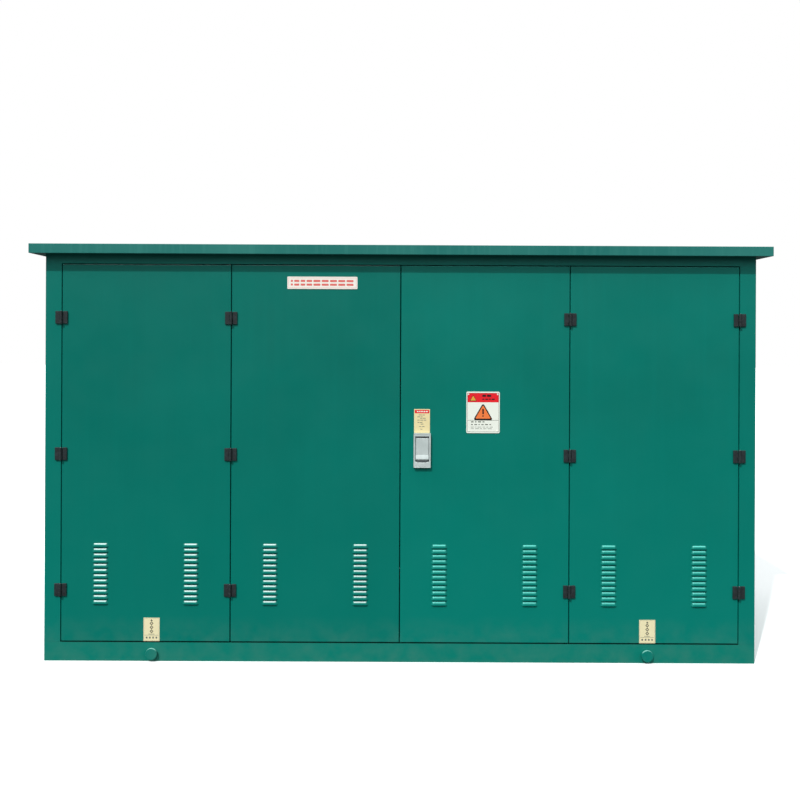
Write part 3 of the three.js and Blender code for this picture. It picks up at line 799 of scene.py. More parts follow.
def make_doors():
    case_low, case_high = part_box("lock_case")
    side, end = 3.5 * MM, 14 * MM
    window = (case_low.x + side, case_high.x - side, case_low.z + end, case_high.z - end / 2)
    door("door_left_outer", "left_outer_door", "left")
    bolts = [passage("slide_bolt_upper", "top"), passage("slide_bolt_lower", "bottom")]
    rods = [passage("lock_rod_upper", "top"), passage("lock_rod_lower", "bottom")]
    door("door_left_inner", "left_inner_door", "left", passages=bolts)
    door("door_right_inner", "right_inner_door", "right", [window], rods)
    door("door_right_outer", "right_outer_door", "right")
    bolt_x = (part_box("slide_bolt_upper")[0].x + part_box("slide_bolt_upper")[1].x) / 2
    levels = [180 * MM, 296 * MM, 1490 * MM, 1606 * MM]
    rod_guides("slide_bolt_guides", "left_inner_door", "left", bolt_x, levels)
    for node, z in (("lock_rod_upper", 1300 * MM), ("lock_rod_lower", 500 * MM)):
        low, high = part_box(node)
        middle = (low.x + high.x) / 2
        rod_guides(node + "_guide", "right_inner_door", "right", middle, [z])


# ---------------------------------------------------------------- hinges

HINGE = {"height": 54 * MM, "barrel": 6.5 * MM, "reach": 26 * MM, "leaf": 6 * MM, "out": 7.5 * MM}
STRIP = {"near": 4.6 * MM, "far": 24 * MM, "thick": 4 * MM, "end": 60 * MM}


def hinge_half(node, axis_x, side, has_pin, body):
    """One side of a line of three block hinges: leaves, knuckles, screws and the inner strip."""
    part = bmesh.new()
    axis_y = FRONT - HINGE["out"]
    plate = (FRONT - 0.3 * MM - HINGE["leaf"], FRONT - 0.3 * MM)
    near, far = axis_x + side * 7.2 * MM, axis_x + side * HINGE["reach"]
    for z in HINGE_LEVELS:
        low_z, high_z = z - HINGE["height"] / 2, z + HINGE["height"] / 2
        third = HINGE["height"] / 3
        add_box(part, (near, plate[0], low_z), (far, plate[1], high_z), 1.6 * MM, segments=3)
        spans = [(low_z, low_z + third), (high_z - third, high_z)]
        if not has_pin:
            spans = [(low_z + third, high_z - third)]
        for start, end in spans:
            start, end = start + 0.15 * MM, end - 0.15 * MM
            add_bar(part, (axis_x, axis_y, start), (axis_x, axis_y, end), HINGE["barrel"], 0.8 * MM)
            inner = axis_x + side * 1 * MM
            bridge = axis_x + side * 9.5 * MM
            corner = (inner, plate[0] + 0.2 * MM, start)
            add_box(part, corner, (bridge, plate[1], end), 0.5 * MM)
        for offset in (-16 * MM, 16 * MM):
            screw = (axis_x + side * 17 * MM, plate[0] + 0.25 * MM, z + offset)
            cup = in_mm((4.6, 0), (4.4, 0.5), (2.2, 0.55), (1.9, 0.1))
            add_turned(part, screw, (0, -1, 0), cup, 20, index=1)
        if has_pin:
            for end, way in ((high_z, 1), (low_z, -1)):
                cap = in_mm((2.6, 0), (2.6, 0.8), (1.8, 1.4))
                add_turned(part, (axis_x, axis_y, end), (0, 0, way), cap, 16, index=2)
    edges = (axis_x + side * STRIP["near"], axis_x + side * STRIP["far"])
    deep = (FRONT + SHEET + 0.3 * MM, FRONT + SHEET + 0.3 * MM + STRIP["thick"])
    bottom, top = HINGE_LEVELS[0] - STRIP["end"], HINGE_LEVELS[-1] + STRIP["end"]
    add_box(part, (edges[0], deep[0], bottom), (edges[1], deep[1], top), 0.6 * MM)
    materials = [HINGE_BLACK, PLASTIC_BLACK, BRIGHT_STEEL]
    finish_piece(node + "_detailed", part, materials, body, [node])


def make_hinges():
    half_gap = 2 * MM
    for side_name, side in (("left", -1), ("right", 1)):
        outer_low, outer_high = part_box(f"door_{side_name}_outer")
        far_edge = outer_low.x if side < 0 else outer_high.x
        near_edge = outer_high.x if side < 0 else outer_low.x
        frame_axis = far_edge + side * half_gap
        fold_axis = near_edge - side * half_gap
        outer, inner = f"{side_name}_outer_door", f"{side_name}_inner_door"
        halves = [
            ("frame_hinge_fixed_leaves", frame_axis, side, True, "root"),
            ("frame_hinge_door_leaves", frame_axis, -side, False, outer),
            ("fold_hinge_outer_leaves", fold_axis, side, True, outer),
            ("fold_hinge_inner_leaves", fold_axis, -side, False, inner),
        ]
        for suffix, axis, reach_side, has_pin, body in halves:
            hinge_half(f"{side_name}_{suffix}", axis, reach_side, has_pin, body)


# ---------------------------------------------------------------- lock


def make_lock_case():
    """A plate around the flap's window, with a rim and a tab, and the cup behind it."""
    low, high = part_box("lock_case")
    flap_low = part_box("lock_flap")[0]
    middle = (low.x + high.x) / 2
    face = low.y
    back = FRONT - 0.3 * MM
    half = (high.x - low.x) / 2
    window = {
        "half": 29.7 * MM,
        "top": high.z - 13.6 * MM,
        "bottom": flap_low.z - 10 * MM,
    }
    part = bmesh.new()
    # The plate around the window, as a frame of four rounded bars.
    add_box(part, (low.x, face, window["top"]), (high.x, back, high.z), 1.4 * MM, segments=3)
    add_box(part, (low.x, face, low.z), (high.x, back, window["bottom"]), 1.4 * MM, segments=3)
    for side in (-1, 1):
        edges = (middle + side * window["half"], middle + side * half)
        bottom, top = window["bottom"] - 1.5 * MM, window["top"] + 1.5 * MM
        add_box(part, (edges[0], face + 0.1 * MM, bottom), (edges[1], back, top), 1.2 * MM)
    # A raised rim follows the outer edge, and a tab stands under the finger gap.
    rim = 2.2 * MM
    for z0, z1 in ((high.z - rim, high.z), (low.z, low.z + rim)):
        add_box(part, (low.x, face - 0.9 * MM, z0), (high.x, face + 1 * MM, z1), 0.7 * MM)
    for x0, x1 in ((low.x, low.x + rim), (high.x - rim, high.x)):
        add_box(part, (x0, face - 0.9 * MM, low.z), (x1, face + 1 * MM, high.z), 0.7 * MM)
    tab_top = window["bottom"] - 1 * MM
    tab = ((middle - 15 * MM, face - 0.7 * MM), (middle + 15 * MM, face + 1 * MM))
    add_box(part, (*tab[0], low.z + 4 * MM), (*tab[1], tab_top), 0.6 * MM)
    # Slanted shoulders close the corners of the finger gap.
    for side in (-1, 1):
        corner = middle + side * (window["half"] + 0.5 * MM)
        outline = [
            (corner, window["bottom"] - 1 * MM),
            (corner, window["bottom"] + 5 * MM),
            (corner - side * 14 * MM, window["bottom"] - 1 * MM),
        ]
        add_plate(part, outline if side < 0 else outline[::-1], face + 0.4 * MM, back, 0.3 * MM)
    # The cup behind the window that the handle turns in.
    cup_back, wall = high.y, 2 * MM
    box = (middle - 32 * MM, middle + 32 * MM, low.z + 20 * MM, high.z - 12 * MM)
    add_box(part, (box[0], cup_back - wall, box[2]), (box[1], cup_back, box[3]), 0.8 * MM, index=1)
    for x0, x1 in ((box[0], box[0] + wall), (box[1] - wall, box[1])):
        add_box(part, (x0, back - 2 * MM, box[2]), (x1, cup_back, box[3]), 0.6 * MM, index=1)
    for z0, z1 in ((box[2], box[2] + wall), (box[3] - wall, box[3])):
        add_box(part, (box[0], back - 2 * MM, z0), (box[1], cup_back, z1), 0.6 * MM, index=1)
    materials = [SATIN_CHROME, BRIGHT_STEEL]
    finish_piece("lock_case_detailed", part, materials, "right_inner_door", ["lock_case"])


def make_lock_flap():
    """A folded flap: a flat cover, a band near its foot that a finger lifts, and its hinge."""
    low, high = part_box("lock_flap")
    middle = (low.x + high.x) / 2
    half = 27.6 * MM
    face = low.y + 0.4 * MM
    top = high.z - 5.4 * MM
    fold = low.z + 21 * MM
    profile = [
        (face + 2.2 * MM, top),
        (face + 0.5 * MM, top - 0.5 * MM),
        (face, top - 1.6 * MM),
        (face, top - 3 * MM),
        (face, fold + 3 * MM),
        (face, fold + 1.2 * MM),
        (face - 0.5 * MM, fold),
        (face - 1.6 * MM, fold - 3 * MM),
        (face - 4.4 * MM, low.z + 7 * MM),
        (face - 4.7 * MM, low.z + 5 * MM),
        (face - 3.6 * MM, low.z + 2.6 * MM),
        (face - 0.5 * MM, low.z + 0.6 * MM),
    ]
    sheet = bmesh.new()
    rows = [
        [sheet.verts.new((middle + side * half, y, z)) for side in (-1, 1)] for y, z in profile
    ]
    for upper, lower in zip(rows, rows[1:]):
        sheet.faces.new((lower[0], lower[1], upper[1], upper[0]))
    part = thicken(sheet, 1.4 * MM)
    # Turned side edges, which show as two darker lines down the flap.
    for side in (-1, 1):
        edges = (middle + side * half, middle + side * (half - 2.2 * MM))
        add_box(part, (edges[0], face - 1.0 * MM, fold), (edges[1], face + 1.6 * MM, top), 0.5 * MM)
    pivot = (low.y + 6 * MM, high.z - 4.5 * MM)
    for start, end in ((-28.4, -12), (-11.4, 11.4), (12, 28.4)):
        ends = [(middle + x * MM, *pivot) for x in (start, end)]
        add_bar(part, ends[0], ends[1], 2 * MM, 0.3 * MM, index=1)
    materials = [SATIN_CHROME, BRIGHT_STEEL]
    finish_piece("lock_flap_folded", part, materials, "lock_flap", ["lock_flap"], smooth=50)


def make_lock_handle():
    """A wing to turn by, on a boss, on the spindle that drives the pinion."""
    low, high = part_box("lock_handle")
    middle = ((low.x + high.x) / 2, (low.z + high.z) / 2)
    part = bmesh.new()
    outline = rounded_outline(*middle, 44 * MM, 11.6 * MM, 5.7 * MM)
    add_plate(part, outline, low.y, low.y + 12 * MM, 1.2 * MM)
    boss = in_mm((9.5, 0), (9.5, 12.5), (8.6, 13.2))
    add_turned(part, (middle[0], low.y + 12.6 * MM, middle[1]), (0, -1, 0), boss)
    add_bar(part, (middle[0], low.y + 10 * MM, middle[1]), (middle[0], high.y, middle[1]), 6 * MM)
    finish_piece(
        "lock_handle_cast", part, [BRIGHT_STEEL], "lock_handle", ["lock_handle"]
    )


def make_pinion():
    """The toothed wheel that drives both rods."""
    low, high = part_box("lock_pinion")
    centre = ((low.x + high.x) / 2, (low.z + high.z) / 2)
    teeth, root, tip = 16, 10.4 * MM, 12.2 * MM
    outline = []
    for step in range(teeth * 4):
        turn = math.tau * step / (teeth * 4)
        radius = tip if step % 4 in (1, 2) else root
        outline.append((centre[0] + radius * math.cos(turn), centre[1] + radius * math.sin(turn)))
    part = bmesh.new()
    add_plate(part, outline, low.y, high.y, 0.3 * MM)
    finish_piece(
        "lock_pinion_toothed", part, [BRIGHT_STEEL], "lock_handle", ["lock_pinion"]
    )


def make_lock_rods():
    for node in ("lock_rod_upper", "lock_rod_lower"):
        refined(node, BRIGHT_STEEL, 1 * MM)
    for node in ("slide_bolt_upper", "slide_bolt_lower"):
        low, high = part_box(node)
        x = (low.x + high.x) / 2
        y = low.y + 6 * MM
        knob_z = {"slide_bolt_upper": 1560 * MM, "slide_bolt_lower": 240 * MM}[node]
        part = bmesh.new()
        add_bar(part, (x, y, low.z), (x, y, high.z), 6 * MM, 1.5 * MM)
        knob = in_mm((3.4, 0), (3.4, 19), (5, 20), (5, 29), (4, 30))
        add_turned(part, (x, y, knob_z), (0, 1, 0), knob)
        finish_piece(node + "_turned", part, [BRIGHT_STEEL], node, [node])


# ---------------------------------------------------------------- signs and labels

INK = 0.12 * MM  # the ink's thickness, which keeps each layer apart


class Sign:
    """A printed plate. Positions on it are in millimetres from its top left corner."""

    def __init__(self, node, materials, corner, edge=0.3 * MM):
        self.low, self.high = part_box(node)
        self.node = node
        self.materials = materials
        self.part = bmesh.new()
        self.face = self.low.y
        width, height = self.high.x - self.low.x, self.high.z - self.low.z
        middle = ((self.low.x + self.high.x) / 2, (self.low.z + self.high.z) / 2)
        outline = rounded_outline(*middle, width, height, corner)
        add_plate(self.part, outline, self.face, self.high.y, edge)

    def at(self, across, down):
        return (self.low.x + across * MM, self.high.z - down * MM)

    def block(self, left, top, width, height, index, radius=0.5, layer=1):
        """A printed rounded block."""
        x, z = self.at(left + width / 2, top + height / 2)
        radius = min(radius, width / 2 - 0.01, height / 2 - 0.01)
        outline = rounded_outline(x, z, width * MM, height * MM, radius * MM, 3)
        self.ink(outline, index, layer)

    def ink(self, outline, index, layer=1):
        add_plate(self.part, outline, self.face - layer * INK, self.face, index=index)

    def outline_box(self, left, top, width, height, line, index):
        """A thin printed rectangle."""
        self.block(left, top, width, line, index, 0.1)
        self.block(left, top + height - line, width, line, index, 0.1)
        self.block(left, top + line, line, height - 2 * line, index, 0.1)
        self.block(left + width - line, top + line, line, height - 2 * line, index, 0.1)

    def row(self, left, top, height, lengths, index, space=2.0, radius=None, layer=1):
        """A line of plain blocks, where words would be."""
        for length in lengths:
            self.block(left, top, length, height, index, radius or height / 3, layer)
            left += length + space

    def triangle(self, centre, top, side, index, layer, radius):
        """An upright triangle with rounded corners."""
        rise = side * math.sqrt(3) / 2
        corners = [(centre, top), (centre - side / 2, top + rise), (centre + side / 2, top + rise)]
        middle = (centre, top + rise * 2 / 3)
        outline = []
        for across, down in corners:
            toward = math.atan2(-(down - middle[1]), across - middle[0])
            pull = 2 * radius
            x, z = self.at(across - pull * math.cos(toward), down + pull * math.sin(toward))
            for step in range(5):
                turn = toward + math.radians(-60 + 30 * step)
                outline.append(
                    (x + radius * MM * math.cos(turn), z + radius * MM * math.sin(turn))
                )
        self.ink(outline, index, layer)

    def rivet(self, across, down, radius, index):
        x, z = self.at(across, down)
        dome = [(radius * MM, 0), (radius * 0.9 * MM, 0.7 * MM), (radius * 0.4 * MM, 1.1 * MM)]
        add_turned(self.part, (x, self.face, z), (0, -1, 0), dome, 16, index)

    def done(self, body):
        finish_piece(self.node + "_printed", self.part, self.materials, body, [self.node])


def make_danger_sign():
    """A red heading over a warning triangle, which holds a bar and a dot, over plain bars."""
    inks = [SIGN_WHITE, INK_RED, INK_ORANGE, INK_BLACK, INK_GREY, INK_YELLOW]
    white, red, orange, black, grey, yellow = range(6)
    sign = Sign("danger_sign", inks, 5 * MM)
    sign.block(4, 5.5, 135, 40, red, 2)
    sign.triangle(29, 14, 31, black, 2, 2.0)
    sign.triangle(29, 17.2, 24.6, yellow, 3, 1.2)
    sign.row(68, 13, 9, [16, 18], black, 4, 1.2, layer=2)
    sign.row(68, 30, 5, [9, 12, 7, 13], black, 4, 1.2, layer=2)
    sign.triangle(71.5, 48, 86, black, 1, 6)
    sign.triangle(71.5, 57.6, 67, orange, 2, 3)
    sign.block(68.2, 73, 6.6, 24, black, 3, layer=3)
    sign.block(68.2, 101, 6.6, 6.6, black, 3.2, layer=3)
    sign.outline_box(4, 5.5, 135, 167, 1.2, grey)
    sign.block(5, 122, 133, 1.6, grey, 0.3)
    sign.row(20, 127, 5, [11, 7, 13, 9], grey, 6)
    sign.row(20, 139, 4.4, [8, 12, 6, 10, 13, 7], grey, 6)
    sign.row(18, 151, 2, [14, 8, 17, 12, 10, 14], grey, 4)
    sign.row(20, 158, 2, [12, 17, 8, 14, 18], grey, 5)
    for across in (9, 134):
        for down in (11, 168):
            sign.rivet(across, down, 3.4, white)
    sign.done("right_inner_door")


def make_name_plate():
    """A cream plate with a thin salmon border, and plain bars where the words would be."""
    sign = Sign("name_plate", [PLATE_CREAM, INK_SALMON], 3.5 * MM)
    sign.outline_box(5, 5, 291, 43, 0.8, 1)
    left = 15
    for width in (9, 22, 20, 24, 30, 30, 30, 30, 30):
        sign.block(left, 14, width, 9, 1, 3)
        sign.block(left, 30, width, 9, 1, 3)
        left += width + 5.5
    sign.done("left_inner_door")


def make_lock_label():
    """A cream label with a red heading over lines of plain bars."""
    sign = Sign("lock_label", [LABEL_CREAM, INK_RED, INK_GREY, SIGN_WHITE], 0.8 * MM, 0.1 * MM)
    red, grey, white = 1, 2, 3
    sign.block(3, 3.5, 62, 14.5, red, 2.5)
    sign.row(12, 8, 5, [7, 6, 8, 7, 9], white, 2.5, 1, layer=2)
    for top, left, lengths in (
        (24, 20, [14, 10]),
        (32, 14, [12, 9]),
        (38, 26, [9, 13]),
        (46, 14, [10, 14, 10]),
        (56, 15, [7, 12]),
        (63, 28, [12]),
        (74, 22, [9, 12]),
        (85, 27, [9]),
    ):
        sign.row(left, top, 2.6, lengths, grey)
    sign.done("right_inner_door")


def make_lifting_labels():
    """Plain labels over the lifting pins: a string of hollow diamonds, over a row of blocks."""
    for side in ("left", "right"):
        sign = Sign(f"lifting_label_{side}", [LABEL_PALE, INK_SOFT_BLACK, INK_GREY], 0.8 * MM, 0.1 * MM)
        for number in range(3):
            middle, reach_x, reach_z = 24 + number * 17, 8, 8.5
            points = [(0, -1), (-1, 0), (0, 1), (1, 0)]
            for (x0, z0), (x1, z1) in zip(points, points[1:] + points[:1]):
                inner = 0.5
                outline = [
                    (34.5 + x0 * reach_x, middle + z0 * reach_z),
                    (34.5 + x1 * reach_x, middle + z1 * reach_z),
                    (34.5 + x1 * reach_x * inner, middle + z1 * reach_z * inner),
                    (34.5 + x0 * reach_x * inner, middle + z0 * reach_z * inner),
                ]
                sign.ink([sign.at(*point) for point in outline], 1)
        tip = [(34.5, 6), (29, 14), (40, 14)]
        sign.ink([sign.at(*point) for point in tip], 1)
        sign.block(22, 69, 25, 2, 2, 0.6)
        sign.outline_box(2, 2, 65, 96, 0.6, 2)
        sign.block(5, 74, 59, 1.2, 2, 0.3)
        sign.row(10, 81, 8, [7, 7, 7, 7], 2, 7, 1.5)
        sign.done(f"{side}_outer_door")


# ---------------------------------------------------------------- base, walls and roof


def make_lifting_pins():
    """Turned pins: a head outside, and a stop collar near the inner end."""
    for end, way in (("front", -1), ("rear", 1)):
        for side in ("left", "right"):
            node = f"lifting_pin_{end}_{side}"
            low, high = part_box(node)
            x, z = (low.x + high.x) / 2, (low.z + high.z) / 2
            outside = low.y if way < 0 else high.y
            length = high.y - low.y
            profile = [
                (22.0 * MM, 0),
                (24.2 * MM, 0.8 * MM),
                (25.0 * MM, 2.2 * MM),
                (25.0 * MM, 7.0 * MM),
                (24.0 * MM, 8.0 * MM),
                (20.0 * MM, 8.2 * MM),
                (20.0 * MM, length - 12 * MM),
                (25.0 * MM, length - 12 * MM),
                (25.0 * MM, length - 6 * MM),
                (20.0 * MM, length - 6 * MM),
                (19.0 * MM, length),
            ]
            part = bmesh.new()
            add_turned(part, (x, outside, z), (0, -way, 0), profile, 48)
            finish_piece(node + "_turned", part, [PAINT["frame"]], node, [node])


def make_side_panels():
    """The side walls, with the bank of louvres that lets warm air out high up."""
    for name, side in (("left_side_panel", -1), ("right_side_panel", 1)):
        low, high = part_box(name)
        width, height = high.y - low.y, high.z - low.z
        # Seen from outside, a left wall runs from back to front, and a right wall from front to back.
        middle = width / 2 + side * SIDE_LOUVRE["behind_middle"]
        lowest, count = SIDE_LOUVRE["lowest"], SIDE_LOUVRE["count"]
        louvres = [(middle, lowest + i * LOUVRE["pitch"] - low.z) for i in range(count)]
        panel = thicken(pressed_panel(width, height, 20 * MM, 18 * MM, louvres), SHEET)
        start_y = high.y if side < 0 else low.y
        face_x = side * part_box("front_frame")[1].x
        turn = Matrix.Rotation(side * math.pi / 2, 4, "Z")
        panel.transform(Matrix.Translation((face_x, start_y, low.z)) @ turn)
        finish_piece(name + "_pressed", panel, [PAINT["walls"]], "root", [name])


def make_shell():
    refined("base_frame", PAINT["base"], 2.6 * MM)
    refined("front_frame", PAINT["frame"], 0.5 * MM)
    refined("roof", PAINT["roof"], 0.8 * MM)
    refined("rear_panel_left", PAINT["walls"], 0.6 * MM)
    refined("rear_panel_right", PAINT["walls"], 0.6 * MM)
    refined("floor_plate", GALVANISED, 0.4 * MM)
    refined("door_seal", RUBBER, 1.4 * MM)


def make_rear_fixings():
    """The strip that covers the joint of the rear walls, and the bolts that hold them."""
    low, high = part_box("rear_panel_left")
    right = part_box("rear_panel_right")[1].x
    strip = bmesh.new()
    half, thick = 35 * MM, 2.5 * MM
    bottom, top = (-half, high.y, low.z + 4 * MM), (half, high.y + thick, high.z - 4 * MM)
    add_box(strip, bottom, top, 0.8 * MM)
    finish_piece("rear_seam_strip", strip, [PAINT["walls"]], "root")

    part = bmesh.new()
    for x in (low.x + 40 * MM, -20 * MM, 20 * MM, right - 40 * MM):
        face = high.y + (thick if abs(x) < half else 0)
        for i in range(6):
            z = low.z + 90 * MM + i * (high.z - low.z - 180 * MM) / 5
            add_bolt(part, (x, face, z), (0, 1, 0), 8 * MM)
    finish_piece("rear_wall_bolts", part, [BRIGHT_STEEL], "root")


def make_lamp():
    """A lamp inside, under the roof and behind the doorway's head."""
    part = bmesh.new()
    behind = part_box("front_frame")[1].y + 12 * MM
    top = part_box("front_frame")[1].z - 20 * MM
    add_box(part, (-160 * MM, behind, top - 30 * MM), (160 * MM, behind + 60 * MM, top), 4 * MM)
    middle = (behind + 30 * MM, top - 34 * MM)
    for start, end, radius, index in ((-150, 150, 13, 1), (-156, -146, 15, 0), (146, 156, 15, 0)):
        ends = [(x * MM, *middle) for x in (start, end)]
        add_bar(part, ends[0], ends[1], radius * MM, 1.5 * MM, 32, index)
    materials = [PLASTIC_GREY, LAMP_COVER]
    finish_piece("inside_lamp", part, materials, "root")


def make_document_pocket():
    """A folded pocket for drawings, inside the left outer door."""
    low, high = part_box("door_left_outer")
    near = (low.x + high.x) / 2 + 60 * MM
    far = high.x - 50 * MM
    bottom, top = 900 * MM, 1100 * MM
    inner, outer = FRONT + SHEET + 0.5 * MM, FRONT + 22 * MM
    part = bmesh.new()
    add_box(part, (near, outer - 1.5 * MM, bottom), (far, outer, top), 0.5 * MM)
    add_box(part, (near, inner, bottom), (far, outer, bottom + 1.5 * MM), 0.5 * MM)
    for x in (near, far - 1.5 * MM):
        add_box(part, (x, inner, bottom), (x + 1.5 * MM, outer, top), 0.5 * MM)
    add_bar(part, (near, outer - 1 * MM, top), (far, outer - 1 * MM, top), 1.6 * MM)
    finish_piece("document_pocket", part, [PAINT["left"]], "left_outer_door")


# ---------------------------------------------------------------- inside


def make_enclosure():
    refined("busbar_enclosure", TANK_STEEL, 0.5 * MM)
    refined("enclosure_cover", TANK_STEEL, 0.5 * MM)
    refined("enclosure_stand_left", GALVANISED, 1.5 * MM)
    refined("enclosure_stand_right", GALVANISED, 1.5 * MM)
    low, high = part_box("enclosure_cover")
    part = bmesh.new()
    count = 17
    for i in range(count):
        x = low.x + 40 * MM + i * (high.x - low.x - 80 * MM) / (count - 1)
        add_bolt(part, (x, low.y, low.z + 9 * MM), (0, -1, 0), 6 * MM)
    finish_piece("enclosure_cover_bolts", part, [BRIGHT_STEEL], "root")


def make_way_plates():
    """Behind each way's bushings, a bolted mounting plate, and a plain marker under it."""
    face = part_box("busbar_enclosure")[0].y
    middle_z = (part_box("bushing_way1_phase1")[0].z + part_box("bushing_way1_phase1")[1].z) / 2
    part = bmesh.new()
    for x in WAYS:
        outline = rounded_outline(x, middle_z, 476 * MM, 200 * MM, 14 * MM)
        add_plate(part, outline, face - 4 * MM, face + 0.5 * MM, 0.6 * MM)
        for column in range(7):
            across = x + (column - 3) * 74 * MM
            for z in (middle_z - 88 * MM, middle_z + 88 * MM):
                add_bolt(part, (across, face - 4 * MM, z), (0, -1, 0), 7 * MM, index=1)
        marker = rounded_outline(x, middle_z - 150 * MM, 120 * MM, 36 * MM, 4 * MM)
        add_plate(part, marker, face - 1.5 * MM, face + 0.5 * MM, 0.3 * MM, index=2)
        line = rounded_outline(x, middle_z - 150 * MM, 84 * MM, 9 * MM, 3 * MM)
        add_plate(part, line, face - 1.7 * MM, face - 1.5 * MM, index=3)
    materials = [TANK_STEEL, BRIGHT_STEEL, SIGN_WHITE, INK_BLACK]
    finish_piece("way_mounting_plates", part, materials, "root")


def make_bushings():
    """Cast bushings: a tapered plug with its stud, a bolted flange, and a tail in the tank."""
    inks = [INK_YELLOW, INK_GREEN, INK_RED]
    for way in range(4):
        for phase in range(3):
            node = f"bushing_way{way + 1}_phase{phase + 1}"
            low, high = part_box(node)
            x, z = (low.x + high.x) / 2, (low.z + high.z) / 2
            front = low.y
            part = bmesh.new()
            plug = in_mm(
                (21.5, 20),
                (23.0, 21.5),
                (29.5, 148),
                (33.0, 150),
                (68.5, 150),
                (70.0, 151.5),
                (70.0, 163.5),
                (68.5, 165),
                (40.0, 165),
                (36.0, 200),
                (38.0, 202),
                (33.0, 235),
                (30.0, 270),
            )
            add_turned(part, (x, front, z), (0, 1, 0), plug, 40)
            stud = [(7.6 * MM, 0), (8.6 * MM, 1 * MM)]
            for turn in range(9):
                stud += [(8.6 * MM, (1.5 + turn * 2) * MM), (7.4 * MM, (2.5 + turn * 2) * MM)]
            stud.append((8.6 * MM, 20.5 * MM))
            add_turned(part, (x, front, z), (0, 1, 0), stud, 20, index=1)
            for quarter in range(4):
                turn = math.radians(45 + 90 * quarter)
                at = (x + 56 * MM * math.cos(turn), front + 150 * MM, z + 56 * MM * math.sin(turn))
                add_bolt(part, at, (0, -1, 0), 8 * MM, index=2)
            band = in_mm((70.4, 156), (70.4, 161))
            add_turned(part, (x, front, z), (0, 1, 0), band, 40, index=3)
            materials = [EPOXY, COPPER, BRIGHT_STEEL, inks[phase]]
            finish_piece(node + "_cast", part, materials, "root", [node])


def make_busbars():
    for phase in (1, 2, 3):
        refined(f"busbar_phase_{phase}", COPPER, 0.8 * MM)
    refined("earth_bar", COPPER, 0.8 * MM)
    low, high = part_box("earth_bar")
    part = bmesh.new()
    count = 16
    for i in range(count):
        x = low.x + 60 * MM + i * (high.x - low.x - 120 * MM) / (count - 1)
        add_bolt(part, (x, low.y, (low.z + high.z) / 2), (0, -1, 0), 10 * MM)
    finish_piece("earth_bar_bolts", part, [BRIGHT_STEEL], "root")


def make_cable_clamps():
    """The rail, and for each way the two bolts beside the cable's place."""
    low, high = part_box("cable_clamp_rail")
    refined("cable_clamp_rail", GALVANISED, 0.6 * MM)
    part = bmesh.new()
    front = low.y
    for x in WAYS:
        for side in (-1, 1):
            at = (x + side * 63 * MM, front, (low.z + high.z) / 2)
            add_bolt(part, at, (0, -1, 0), 10 * MM)
    finish_piece("cable_clamp_bolts", part, [BRIGHT_STEEL], "root")


def make_floor_grommets():
    """A rubber ring in each cable hole of the floor."""
    low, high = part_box("floor_plate")
    y = -30 * MM
    part = bmesh.new()
    for x in WAYS:
        ring = []
        for step in range(13):
            turn = math.tau * step / 12
            ring.append((56.5 * MM + 2.8 * MM * math.cos(turn), 4.2 * MM * math.sin(turn)))
        centre = (high.z + low.z) / 2
        add_ring(part, (x, y, centre), ring)
    finish_piece("floor_hole_grommets", part, [RUBBER], "root")


def make_indicator():
    """The live-line indicator: a small moulded box with three lenses and test sockets."""
    low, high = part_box("live_line_indicator")
    part = bmesh.new()
    add_box(part, low, high, 5 * MM, segments=4)
    inset = 12 * MM
    panel = ((low.x + inset, low.y - 1 * MM), (high.x - inset, low.y + 2 * MM))
    add_box(part, (*panel[0], low.z + inset), (*panel[1], high.z - inset), 0.8 * MM, index=1)
    for i in range(3):
        x = low.x + 45 * MM + i * 65 * MM
        lens = in_mm((8, 0), (8, 3), (6.6, 5.4), (3, 6.6))
        add_turned(part, (x, panel[0][1], high.z - 40 * MM), (0, -1, 0), lens, 28, index=2)
        socket = in_mm((6.5, 0), (6.5, 2), (3, 2), (2.6, 0.2))
        add_turned(part, (x, panel[0][1], low.z + 38 * MM), (0, -1, 0), socket, 24, index=3)
    materials = [PLASTIC_GREY, PLASTIC_BLACK, LENS_RED, BRIGHT_STEEL]
    finish_piece(
        "live_line_indicator_moulded", part, materials, "root", ["live_line_indicator"]
    )


# ---------------------------------------------------------------- camera, light and floor


CAMERA = {"lens": 32.4, "shift": -0.0796, "aside": -0.003, "distance": 3.092, "height": 1.399}
CAMERA_ROLL = math.radians(0.26)


def make_camera():
    """A nearly level camera, 3.1 m in front of the doors and 1.4 m above the ground."""
    data = bpy.data.cameras.new("camera")
    data.sensor_width = 36
    data.lens = CAMERA["lens"]
    data.shift_y = CAMERA["shift"]
    data.clip_end = 100
    camera = place("camera", data)
    level = Matrix.Rotation(math.pi / 2, 4, "X")
    roll = Matrix.Rotation(CAMERA_ROLL, 4, "Z")
    eye = (CAMERA["aside"], FRONT - CAMERA["distance"], CAMERA["height"])
    camera.matrix_world = Matrix.Translation(eye) @ level @ roll
    bpy.context.scene.camera = camera


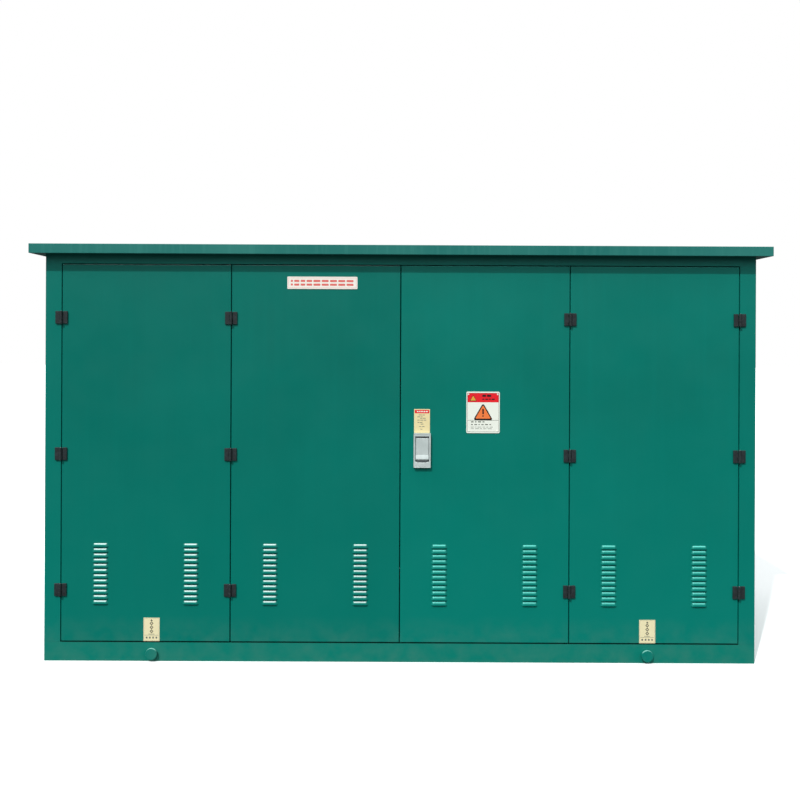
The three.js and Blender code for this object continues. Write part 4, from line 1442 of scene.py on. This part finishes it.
def make_light():
    """A soft sun from the upper left, and a studio that is bright above and dim below."""
    sun_data = bpy.data.lights.new("key", "SUN")
    sun_data.energy = 2.6
    sun_data.angle = math.radians(1.6)
    sun = place("key", sun_data)
    towards_sun = Vector((-0.62, -1.0, 1.46))
    sun.rotation_euler = towards_sun.to_track_quat("Z", "Y").to_euler()

    world = bpy.data.worlds.new("studio")
    bpy.context.scene.world = world
    world.use_nodes = True
    nodes, links = world.node_tree.nodes, world.node_tree.links
    direction = nodes.new("ShaderNodeTexCoord").outputs["Generated"]
    up = nodes.new("ShaderNodeSeparateXYZ")
    links.new(direction, up.inputs[0])
    brightness = nodes.new("ShaderNodeMapRange")
    brightness.interpolation_type = "SMOOTHSTEP"
    for socket, value in {"From Min": 0.0, "From Max": 0.5, "To Min": 0.12, "To Max": 1.3}.items():
        brightness.inputs[socket].default_value = value
    links.new(up.outputs["Z"], brightness.inputs["Value"])
    fill = nodes["Background"]
    fill.inputs["Color"].default_value = (0.94, 0.98, 1.0, 1)
    links.new(brightness.outputs["Result"], fill.inputs["Strength"])
    backdrop = nodes.new("ShaderNodeBackground")
    backdrop.inputs["Color"].default_value = (1, 1, 1, 1)
    backdrop.inputs["Strength"].default_value = 1.0
    path = nodes.new("ShaderNodeLightPath")
    mix = nodes.new("ShaderNodeMixShader")
    links.new(path.outputs["Is Camera Ray"], mix.inputs[0])
    links.new(fill.outputs[0], mix.inputs[1])
    links.new(backdrop.outputs[0], mix.inputs[2])
    links.new(mix.outputs[0], nodes["World Output"].inputs["Surface"])
    bpy.context.scene.view_settings.view_transform = "Standard"


def make_floor():
    half = 30.0
    part = bmesh.new()
    corners = [(-half, -half), (half, -half), (half, half), (-half, half)]
    part.faces.new([part.verts.new((x, y, 0)) for x, y in corners])
    mesh = to_mesh("floor", part)
    mesh.materials.append(pale_floor())
    floor = place("floor", mesh)
    # It stays out of reflections and bounced light, so the green keeps its depth.
    floor.visible_glossy = False
    floor.visible_diffuse = False


make_camera()
make_light()
make_floor()
make_doors()
make_hinges()
make_lock_case()
make_lock_flap()
make_lock_handle()
make_pinion()
make_lock_rods()
make_danger_sign()
make_name_plate()
make_lock_label()
make_lifting_labels()
make_lifting_pins()
make_side_panels()
make_shell()
make_rear_fixings()
make_lamp()
make_document_pocket()
make_enclosure()
make_way_plates()
make_bushings()
make_busbars()
make_cable_clamps()
make_floor_grommets()
make_indicator()
